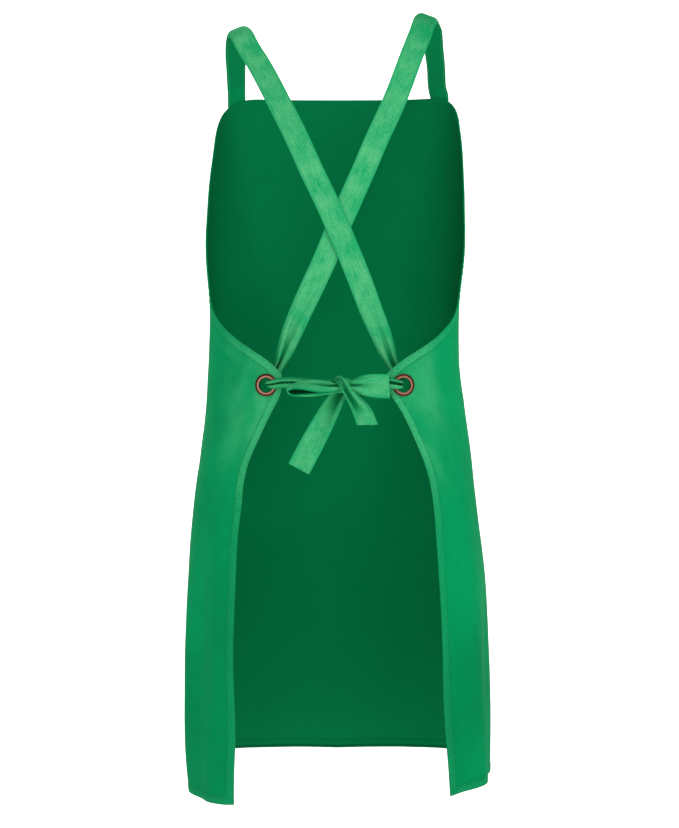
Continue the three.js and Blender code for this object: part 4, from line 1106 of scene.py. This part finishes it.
# %% [markdown]
# ## Eyelets
#
# An eyelet is a turned ring: a barrel through the cloth with a rolled flange on each face. Its profile is a
# closed loop of radius and height, turned round the eyelet's axis.

# %% Turn the eyelets
TURNS = 72
ROLL_STEPS = 15
FLANGE_SEAT = 0.5 * (CLOTH + 1.1) + AIR


def eyelet_profile():
    """Radius and height round the ring's section: a rolled flange on top, the barrel, and the same below."""
    seat = FLANGE_SEAT
    roll = np.linspace(0, 1, ROLL_STEPS)
    width = FLANGE_RADIUS - HOLE_RADIUS
    radius = HOLE_RADIUS + width * (1 - np.cos(np.pi * roll)) / 2
    crown = seat + FLANGE * np.sin(np.pi * roll) ** 0.55 * (1 - 0.45 * roll)
    top = np.stack([radius, crown], axis=-1)
    under = np.array([[FLANGE_RADIUS - 0.3, seat - 0.05], [HOLE_RADIUS + BARREL_WALL, seat - 0.05]])
    half = np.concatenate([top, under])
    return np.concatenate([half, (half * [1, -1])[::-1]])


def make_eyelet(side):
    """The profile turned round the eyelet's axis, closed in both directions."""
    ring = EYELETS[side]
    profile = eyelet_profile()
    turn = np.linspace(0, 2 * np.pi, TURNS + 1)[:-1]
    spoke = ring["inward"] * np.cos(turn)[:, None] + ring["up"] * np.sin(turn)[:, None]
    points = ring["point"] + spoke[:, None] * profile[None, :, :1] + ring["axis"] * profile[None, :, 1:]
    index = np.arange(points.shape[0] * points.shape[1]).reshape(points.shape[:2])
    ahead, beside = np.roll(index, -1, axis=0), np.roll(index, -1, axis=1)
    faces = np.stack([index, ahead, np.roll(ahead, -1, axis=1), beside], axis=-1).reshape(-1, 4)
    flat = np.broadcast_to(profile, points.shape[:2] + (2,)).reshape(-1, 2)
    name = "eyelet_left" if side == LEFT else "eyelet_right"
    return make_piece(name + "_ring", "copper", name, points.reshape(-1, 3), faces, flat)


eyelets = [make_eyelet(side) for side in (LEFT, RIGHT)]

# %% [markdown]
# ## Stitches
#
# Every seam is held by stitches that are modelled one by one. A stitch is a short thread lying in its
# groove: it rises out of the cloth, runs along the seam and dips in again. Rows of them follow the hems and
# the straps.

# %% Rows along the hems
STITCH_PITCH = 3.6
STITCH_LENGTH = 2.9
LEVEL_POINTS = 800
OTHER_EDGE = 0.12


def edge_lines(inset):
    """Every edge of the panel, moved inward by an inset: the wings, the armholes, the hem and the bib's top.
    The two points at a wing's sharp corner are left out."""
    lines = []
    for side in (LEFT, RIGHT):
        edge = SIDE_LINES[side]
        for part in (edge[: WING_POINTS - 1], edge[WING_POINTS + 1 :]):
            run = unit(np.gradient(part, axis=0))
            lines.append(part + np.stack([-side * run[:, 1], side * run[:, 0]], axis=-1) * inset)
    for level in (inset, PANEL_LENGTH - inset):
        line = np.linspace(-half_length(RIGHT, level), half_length(LEFT, level), LEVEL_POINTS)
        lines.append(np.stack([line, np.full(LEVEL_POINTS, level)], axis=-1))
    return lines


def hem_rows(face):
    """Points and looks along every row of hem stitches on one face of the panel. Each row is an edge moved
    inward by the seam's inset, less the parts that lie nearer than that to another edge."""
    found = []
    for inset in (STITCH_EDGE, STITCH_INNER):
        nearest = inset - OTHER_EDGE
        for line in edge_lines(inset):
            x, z = line[:, 0], np.clip(line[:, 1], 0, PANEL_LENGTH)
            inside = (edge_distance(x, z) > nearest) & (z > nearest) & (z < PANEL_LENGTH - nearest)
            outer, inner, normal, _ = panel_faces(x[inside], z[inside])
            found.append((outer, normal) if face > 0 else (inner, -normal))
    return found


# %% Make the stitches
STITCH_SIDES = 6
STITCH_RINGS = 4


def sample(along, values, at):
    """Rows of values at given lengths, read evenly between the two nearest."""
    return np.stack([np.interp(at, along, values[:, k]) for k in range(3)], axis=-1)


def stitch_places(rows_of_points):
    """The middle of every stitch along the rows, the way that it runs and the way that its cloth looks."""
    found = []
    for points, normals in rows_of_points:
        along = lengths_along(points)
        at = np.arange(STITCH_PITCH / 2, along[-1] - STITCH_PITCH / 2, STITCH_PITCH)
        way = unit(sample(along, points, at + 0.6) - sample(along, points, at - 0.6))
        found.append((sample(along, points, at), way, unit(sample(along, normals, at))))
    return [np.concatenate(column) for column in zip(*found)]


def tube_faces():
    """Quadrilaterals of one stitch: round its tube, and two on each end."""
    index = np.arange(STITCH_RINGS * STITCH_SIDES).reshape(STITCH_RINGS, STITCH_SIDES)
    beside = np.roll(index, -1, axis=1)
    tube = np.stack([index[:-1], beside[:-1], beside[1:], index[1:]], axis=-1).reshape(-1, 4)
    first, last = index[0], index[-1]
    caps = [first[[3, 2, 1, 0]], first[[5, 4, 3, 0]], last[[0, 1, 2, 3]], last[[0, 3, 4, 5]]]
    return np.concatenate([tube, caps])


def make_stitches(name, slot, rows_of_points):
    """One piece of all stitches along the rows. Each stitch is a bent tube of four rings, the end ones sunk
    into the cloth, so its height over the cloth is the cosine of the share of its length from its middle."""
    centre, way, look = stitch_places(rows_of_points)
    beside = unit(np.cross(way, look))
    share = np.linspace(-1, 1, STITCH_RINGS)
    rise = THREAD_RADIUS * (1.2 * np.cos(share * np.pi / 2) - 0.7)
    turn = np.linspace(0, 2 * np.pi, STITCH_SIDES + 1)[:-1]
    spine = way[:, None] * (share * STITCH_LENGTH / 2)[:, None] + look[:, None] * rise[:, None]
    ring = beside[:, None] * np.cos(turn)[:, None] + look[:, None] * np.sin(turn)[:, None]
    points = centre[:, None, None] + spine[:, :, None] + ring[:, None] * THREAD_RADIUS
    starts = np.arange(len(centre)) * STITCH_RINGS * STITCH_SIDES
    faces = (tube_faces()[None] + starts[:, None, None]).reshape(-1, 4)
    return make_piece(name, slot, None, points.reshape(-1, 3), faces)


stitches = [
    make_stitches("hem_stitches_outer", "drill", hem_rows(1)),
    make_stitches("hem_stitches_inner", "drill", hem_rows(-1)),
    make_stitches("strap_stitches", "webbing", strap_rows),
]

# %% [markdown]
# ## Shader maths as expressions
#
# A material is a graph of nodes. `Value` wraps one socket, so that plain Python operators add the Math
# nodes, and `Graph.add` makes every other node from its type, its settings and the values or links of its
# sockets.

# %% A socket that can be reckoned with
class Value:
    """A number that varies over a surface, as the output socket of a node."""

    def __init__(self, graph, socket):
        self.graph, self.socket = graph, socket

    def math(self, operation, *others, swap=False):
        """A Math node of this value and others, or of the others and then this value."""
        values = [*others, self] if swap else [self, *others]
        return self.graph.add("ShaderNodeMath", {"operation": operation}, dict(enumerate(values)))

    def __add__(self, other):
        return self.math("ADD", other)

    def __sub__(self, other):
        return self.math("SUBTRACT", other)

    def __mul__(self, other):
        return self.math("MULTIPLY", other)

    __radd__, __rmul__ = __add__, __mul__

    def __rsub__(self, other):
        return self.math("SUBTRACT", other, swap=True)


# %% The node tree of a material
class Graph:
    """The node tree of one material, with its Principled shader."""

    def __init__(self, name):
        self.material = bpy.data.materials.new(name)
        self.material.use_nodes = True
        self.tree = self.material.node_tree
        self.shader = self.tree.nodes["Principled BSDF"]

    def add(self, kind, settings=None, sockets=None, output=0):
        """A node of a kind, with its settings set first and then the values or links of its sockets."""
        node = self.tree.nodes.new(kind)
        for name, value in (settings or {}).items():
            setattr(node, name, value)
        for name, value in (sockets or {}).items():
            self.put(node.inputs[name], value)
        return Value(self, node.outputs[output])

    def put(self, socket, value):
        """Links a value to a socket, or sets the socket's own number or colour."""
        if isinstance(value, Value):
            self.tree.links.new(value.socket, socket)
        elif isinstance(value, tuple) and len(value) == 3 and socket.type == "RGBA":
            socket.default_value = (*value, 1)
        else:
            socket.default_value = value

    def set(self, **values):
        """Sets sockets of the shader by their names, with _ for a blank."""
        for name, value in values.items():
            self.put(self.shader.inputs[name.replace("_", " ")], value)

    def mix(self, factor, first, second):
        """A colour part of the way from the first to the second."""
        node = self.tree.nodes.new("ShaderNodeMix")
        node.data_type = "RGBA"
        colours = [socket for socket in node.inputs if socket.type == "RGBA"]
        for socket, value in zip((node.inputs["Factor"], *colours), (factor, first, second)):
            self.put(socket, value)
        return Value(self, next(socket for socket in node.outputs if socket.type == "RGBA"))

    def noise(self, where, scale, detail=2.0, roughness=0.5):
        """Noise from about 0 to 1 at a place."""
        sockets = {"Vector": where, "Scale": scale, "Detail": detail, "Roughness": roughness}
        return self.add("ShaderNodeTexNoise", {}, sockets)

    def clip(self, value, low, high):
        """0 where a value is under low, 1 where it is over high, and smooth between them."""
        sockets = {"Value": value, "From Min": low, "From Max": high}
        return self.add("ShaderNodeMapRange", {"interpolation_type": "SMOOTHSTEP"}, sockets)

    def cloth(self):
        """The cloth coordinates, in metres: as one link, and their two parts."""
        uv = self.add("ShaderNodeUVMap", {"uv_map": "cloth"})
        part = self.add("ShaderNodeSeparateXYZ", {}, {"Vector": uv})
        return uv, part, Value(self, part.socket.node.outputs["Y"])

    def mark(self, name):
        """A number that the mesh carries at each of its points."""
        return self.add("ShaderNodeAttribute", {"attribute_name": name}, output=2)

    def streaks(self, uv, across, along, detail):
        """Noise that is drawn out one way: its scales across and along the cloth differ."""
        where = self.add("ShaderNodeMapping", {}, {"Vector": uv, "Scale": (across, along, 1.0)})
        return self.noise(where, 1.0, detail)

    def bump(self, height, strength, distance):
        """Turns a height into small relief of the shading."""
        sockets = {"Strength": strength, "Distance": distance, "Height": height}
        self.set(Normal=self.add("ShaderNodeBump", {}, sockets))


# %% [markdown]
# ## Drill
#
# Cotton drill is a twill: its threads pass over three and under one, a step further in each row, which makes
# fine slanting ribs. The ribs are less than 1 mm apart, so they are bump. The colour is uneven by a few
# hundredths, where the dye took better or worse, and it is painted darker towards the hem, a painted shade.
# It is painted paler on seams and round the eyelets, where it has been rubbed and where a painted highlight
# stands for the light on them. The inside is painted a deeper green: painted shade.

# %% The weave
RIB_PITCH = 0.0009
THREAD_PITCH = 0.00062


def sine(value, pitch):
    """A sine wave of a value, with a pitch in the same unit."""
    return (value * (2 * np.pi / pitch)).math("SINE")


def twill(u, v):
    """Height of the twill's ribs at cloth coordinates in metres: slanting waves, broken by the single
    threads."""
    return sine(u + v * 0.62, RIB_PITCH) * 0.6 + sine(v - u * 0.2, THREAD_PITCH) * 0.25


def scaled(colour, share):
    """A colour with each part times a share."""
    return tuple(share * part for part in colour)


# %% The panel's cloth
OUTER_GREEN = (0.0004, 0.24, 0.08)
OUTER_PALE = (0.04, 0.35, 0.14)
# The inside is painted a deeper green than the outside: a painted shade.
INNER_SHADE_GREEN = (0.0003, 0.165, 0.052)
TICK_PITCH = 4.2
DASH_PITCH = 0.0036
DASH_HEIGHT = 0.0026


def outer_colour(g, uv, u, v, tone, patch):
    """The outside: one green, slanting pale ticks on the hems and soft pale patches on the wings, rubbed and
    partly a painted highlight, and a darker groove at the inner row of stitches."""
    edge, worn = g.mark("edge"), g.mark("worn")
    rubbed = g.streaks(uv, 34.0, 15.0, 3.0)
    fleck = g.noise(uv, 430.0, 3.0)
    outer = g.mix(g.clip(tone, 0.2, 0.7), scaled(OUTER_GREEN, 0.78), scaled(OUTER_GREEN, 1.12))
    along = (v - u.math("ABSOLUTE") * 0.9) * 1000 + edge * 0.2 + patch * 7
    tick = g.clip(sine(along, TICK_PITCH) * 0.2 + fleck * 1.6, 0.55, 1.05)
    # The hems and the patches round the eyelets are painted pale: rubbed cloth, and partly a painted
    # highlight on the raised seams and the wings.
    seam = (1 - g.clip(edge, 7.6, 9.0)) * tick * (0.3 + worn * 0.6)
    seam = seam + worn * (0.25 + g.clip(rubbed, 0.3, 0.7) * 0.55)
    outer = g.mix(g.clip(seam, 0.0, 1.0), outer, OUTER_PALE)
    groove = 1 - g.clip((edge - STITCH_INNER - 0.5).math("ABSOLUTE"), 0.3, 1.5)
    return g.mix(groove * g.clip(patch, 0.35, 0.65) * 0.4, outer, scaled(OUTER_GREEN, 0.5))


def inner_colour(g, u, v, tone):
    """The inside: a deeper green, a painted shade, and deeper still towards the bib and the hem, more painted
    shade, with a dark dashed line in the hem, the painted shadows of its stitches."""
    even = g.clip(tone, 0.3, 0.7)
    inner = g.mix(even, INNER_SHADE_GREEN, scaled(INNER_SHADE_GREEN, 1.06))
    # Painted shade: the inside is painted deeper towards the bib and the hem.
    deepened = g.mix(even, scaled(INNER_SHADE_GREEN, 0.8), scaled(INNER_SHADE_GREEN, 0.86))
    inner = g.mix(g.clip((v - 0.42).math("ABSOLUTE"), 0.08, 0.42), inner, deepened)
    # A dark dashed line is painted low in the hem: the painted shadows of its stitches.
    line = 1 - g.clip((v - DASH_HEIGHT).math("ABSOLUTE"), 0.0009, 0.002)
    return g.mix(line * g.clip(sine(u, DASH_PITCH), -0.6, 0.2), inner, scaled(INNER_SHADE_GREEN, 0.1))


def drill_material():
    """The panel's cloth: its outside, its inside painted a deeper green as painted shade, and its twill."""
    g = Graph("green_drill")
    uv, u, v = g.cloth()
    patch, slub = g.noise(uv, 60.0, 3.0), g.streaks(uv, 260.0, 1400.0, 2.0)
    tone = g.noise(uv, 7.0, 4.0) * 0.6 + slub * 0.2 + patch * 0.2
    # Painted shade: the lowest half metre of the cloth is painted darker towards the hem.
    tone = tone + (g.clip(v, 0.02, 0.5) - 0.75) * 0.2
    inside = g.clip(g.mark("inner"), 0.4, 0.6)
    g.set(Base_Color=g.mix(inside, outer_colour(g, uv, u, v, tone, patch), inner_colour(g, u, v, tone)))
    g.set(Roughness=0.88 + slub * 0.06, Specular_IOR_Level=0.03)
    g.bump(twill(u, v) * 0.1 + slub * 0.5, 0.25, 0.0004)
    return g.material


# %% [markdown]
# ## Straps, threads and copper
#
# The straps are the same drill, folded and sewn, so they are rubbed pale on their faces. The valleys of their
# pleats and their inner faces are painted a deep green, a painted shade. The thread has the cloth's colour.
# Antique copper is dark red brown, with a painted highlight in a ring near the hole and painted shade in its
# barrel and at its rim.

# %% Materials of the straps, the threads and the eyelets
STRAP_GREEN = (0.007, 0.29, 0.103)
STRAP_PALE = (0.082, 0.395, 0.163)
STRAP_DEEP = (0.0005, 0.2, 0.066)
STRAP_INSIDE_SHADE = (0.0004, 0.185, 0.06)
COPPER_HIGHLIGHT = (0.36, 0.165, 0.11), (0.46, 0.23, 0.16)
COPPER_DARK = (0.045, 0.012, 0.008), (0.085, 0.025, 0.016)


def webbing_material():
    """The straps' folded drill: a mottled paler green with cleaner edges, and an inside painted deeper as
    painted shade.
    """
    g = Graph("green_webbing")
    uv, u, v = g.cloth()
    speck, streaks = g.noise(uv, 420.0, 3.0, 0.6), g.streaks(uv, 620.0, 45.0, 3.0)
    clean = g.clip(0.5 * STRAP_WIDTH * MM - u.math("ABSOLUTE"), 0.0006, 0.0034)
    tone = g.clip(g.noise(uv, 38.0, 4.0, 0.6) * 0.5 + speck * 0.3 + streaks * 0.3, 0.4, 0.72)
    pale = g.mix(tone * (0.25 + clean * 0.75), STRAP_GREEN, STRAP_PALE)
    # Where the worn mark is low the band keeps its deep green: painted shade in the valleys of its pleats and
    # the hollows of the knot's creases, and the cloth's own colour near the top of the right strap.
    outer = g.mix(g.mark("worn"), STRAP_DEEP, pale)
    # The inner faces of the bands are painted a deeper green: a painted shade.
    g.set(Base_Color=g.mix(g.clip(g.mark("inner"), 0.4, 0.6), outer, STRAP_INSIDE_SHADE))
    g.set(Roughness=0.86 + streaks * 0.08, Specular_IOR_Level=0.04)
    g.bump(twill(u, v) * 0.1 + streaks * 0.4 + speck * 0.4, 0.35, 0.0005)
    return g.material


def thread_material(name, dark, pale):
    """Sewing thread between two greens."""
    g = Graph(name)
    twist = g.noise(g.add("ShaderNodeTexCoord", output=3), 2600.0, 1.0)
    g.set(Base_Color=g.mix(twist, dark, pale), Roughness=0.7, Specular_IOR_Level=0.1)
    return g.material


def copper_material():
    """Antique copper, dark red brown, with a ring near the hole painted bright, a painted highlight, and its
    barrel and rim left dark, a painted shade.
    """
    g = Graph("antique_copper")
    _, radius, _ = g.cloth()
    blotch = g.noise(g.add("ShaderNodeTexCoord", output=3), 420.0, 3.0)
    ragged = radius + (blotch - 0.5) * 0.0008
    # A painted highlight: a ring round the hole is painted bright copper, and the barrel inside it and the
    # rim stay dark, painted shade over the dark antique copper.
    worn = g.clip(ragged, 0.0089, 0.0096) * (1 - g.clip(ragged, 0.0106, 0.0114))
    g.set(Base_Color=g.mix(worn, g.mix(blotch, *COPPER_DARK), g.mix(blotch, *COPPER_HIGHLIGHT)))
    g.set(Metallic=0.95, Roughness=0.5 - worn * 0.12)
    g.bump(blotch, 0.15, 0.0002)
    return g.material


drill, webbing, copper = drill_material(), webbing_material(), copper_material()
pale_thread = thread_material("pale_thread", (0.012, 0.3, 0.11), (0.07, 0.4, 0.17))
hem_thread = thread_material("hem_thread", scaled(OUTER_GREEN, 0.8), (0.02, 0.31, 0.12))
# The inner hem's thread is painted in the inside's shaded green.
inner_shade_thread = thread_material("inner_shade_thread", scaled(INNER_SHADE_GREEN, 0.9), scaled(INNER_SHADE_GREEN, 1.15))
panel.data.materials.append(drill)
for piece in (*bands, knot):
    piece.data.materials.append(webbing)
for piece in eyelets:
    piece.data.materials.append(copper)
for piece, thread in zip(stitches, (hem_thread, inner_shade_thread, pale_thread)):
    piece.data.materials.append(thread)
print("materials:", ", ".join(material.name for material in bpy.data.materials))

# %% [markdown]
# ## The flat size of the panel
#
# The panel is a sheet: its flat size is the length of cloth that the arrays above used.

flat_rows = np.linspace(0, PANEL_LENGTH, 431)
flat_widths = half_length(LEFT, flat_rows) + half_length(RIGHT, flat_rows)

# %% [markdown]
# ## Studio
#
# A pale floor curves up into a backdrop, far enough away to stay white. The light is a white surround with
# two large soft lamps on the camera's side, so the inside of the apron is shaded by its own cloth. The
# camera stands where the photograph was taken: behind the wearer, a little above the knot, looking slightly
# down.

# %% Floor and backdrop
def make_stage():
    """A floor that curves up into a wall: straight, a quarter circle and straight again, swept across."""
    bend = np.linspace(0, 0.5 * np.pi, 17)
    floor, wall, radius, top = -1.35, -4.0, 1.2, 4.0
    profile = [(12.0, floor), (wall + radius, floor)]
    profile += [(wall + radius - radius * np.sin(b), floor + radius - radius * np.cos(b)) for b in bend[1:]]
    profile.append((wall, top))
    points = np.array([[x, y, z] for x in (-9.0, 9.0) for y, z in profile])
    count = len(profile)
    faces = [[i, i + 1, count + i + 1, count + i] for i in range(count - 1)]
    mesh = bpy.data.meshes.new("studio")
    mesh.from_pydata(points.tolist(), [], faces)
    stage = bpy.data.objects.new("studio", mesh)
    bpy.context.collection.objects.link(stage)
    g = Graph("studio_white")
    g.set(Base_Color=(0.9, 0.9, 0.9), Roughness=1.0, Specular_IOR_Level=0.0)
    g.set(Emission_Color=(1.0, 1.0, 1.0), Emission_Strength=0.9)
    mesh.materials.append(g.material)
    return stage


make_stage()


# %% Light
def make_lamp(name, place, target, size, power):
    """A square area lamp at a place, turned to a target, both in metres."""
    data = bpy.data.lights.new(name, "AREA")
    data.size, data.energy = size, power
    lamp = bpy.data.objects.new(name, data)
    lamp.location = place
    lamp.rotation_euler = (Vector(target) - Vector(place)).to_track_quat("-Z", "Y").to_euler()
    bpy.context.collection.objects.link(lamp)


def make_world(seen, lighting):
    """A white surround: one strength where it is seen behind the floor, and a lower one as light."""
    world = bpy.data.worlds.new("studio_light")
    world.use_nodes = True
    nodes, links = world.node_tree.nodes, world.node_tree.links
    background, ray = nodes["Background"], nodes.new("ShaderNodeLightPath")
    strength = nodes.new("ShaderNodeMath")
    strength.operation = "MULTIPLY_ADD"
    strength.inputs[1].default_value = seen - lighting
    strength.inputs[2].default_value = lighting
    links.new(ray.outputs["Is Camera Ray"], strength.inputs[0])
    links.new(strength.outputs[0], background.inputs["Strength"])
    background.inputs["Color"].default_value = (1, 1, 1, 1)
    bpy.context.scene.world = world


make_world(seen=1.0, lighting=0.42)
LIT_PLACE = (0, 0, -0.4)
make_lamp("key", (-0.6, 1.2, 0.95), LIT_PLACE, size=0.8, power=18)
make_lamp("fill", (0.4, 2.6, 0.1), LIT_PLACE, size=1.6, power=12)

# %% Camera
CAMERA_PLACE = np.array([-3.76, 2200.0, 600.0 - ORIGIN_HEIGHT]) * MM
PITCH = 3.75
PHOTO_SIZE = (679, 828)
FOCAL_PIXELS = 1753.0
camera_data = bpy.data.cameras.new("camera")
camera_data.sensor_width = 36.0
camera_data.lens = FOCAL_PIXELS / PHOTO_SIZE[1] * camera_data.sensor_width
camera = bpy.data.objects.new("camera", camera_data)
camera.location = CAMERA_PLACE
way = Vector((0, -np.cos(np.radians(PITCH)), -np.sin(np.radians(PITCH))))
camera.rotation_euler = way.to_track_quat("-Z", "Y").to_euler()
bpy.context.collection.objects.link(camera)
bpy.context.scene.camera = camera
bpy.context.scene.view_settings.view_transform = "Standard"
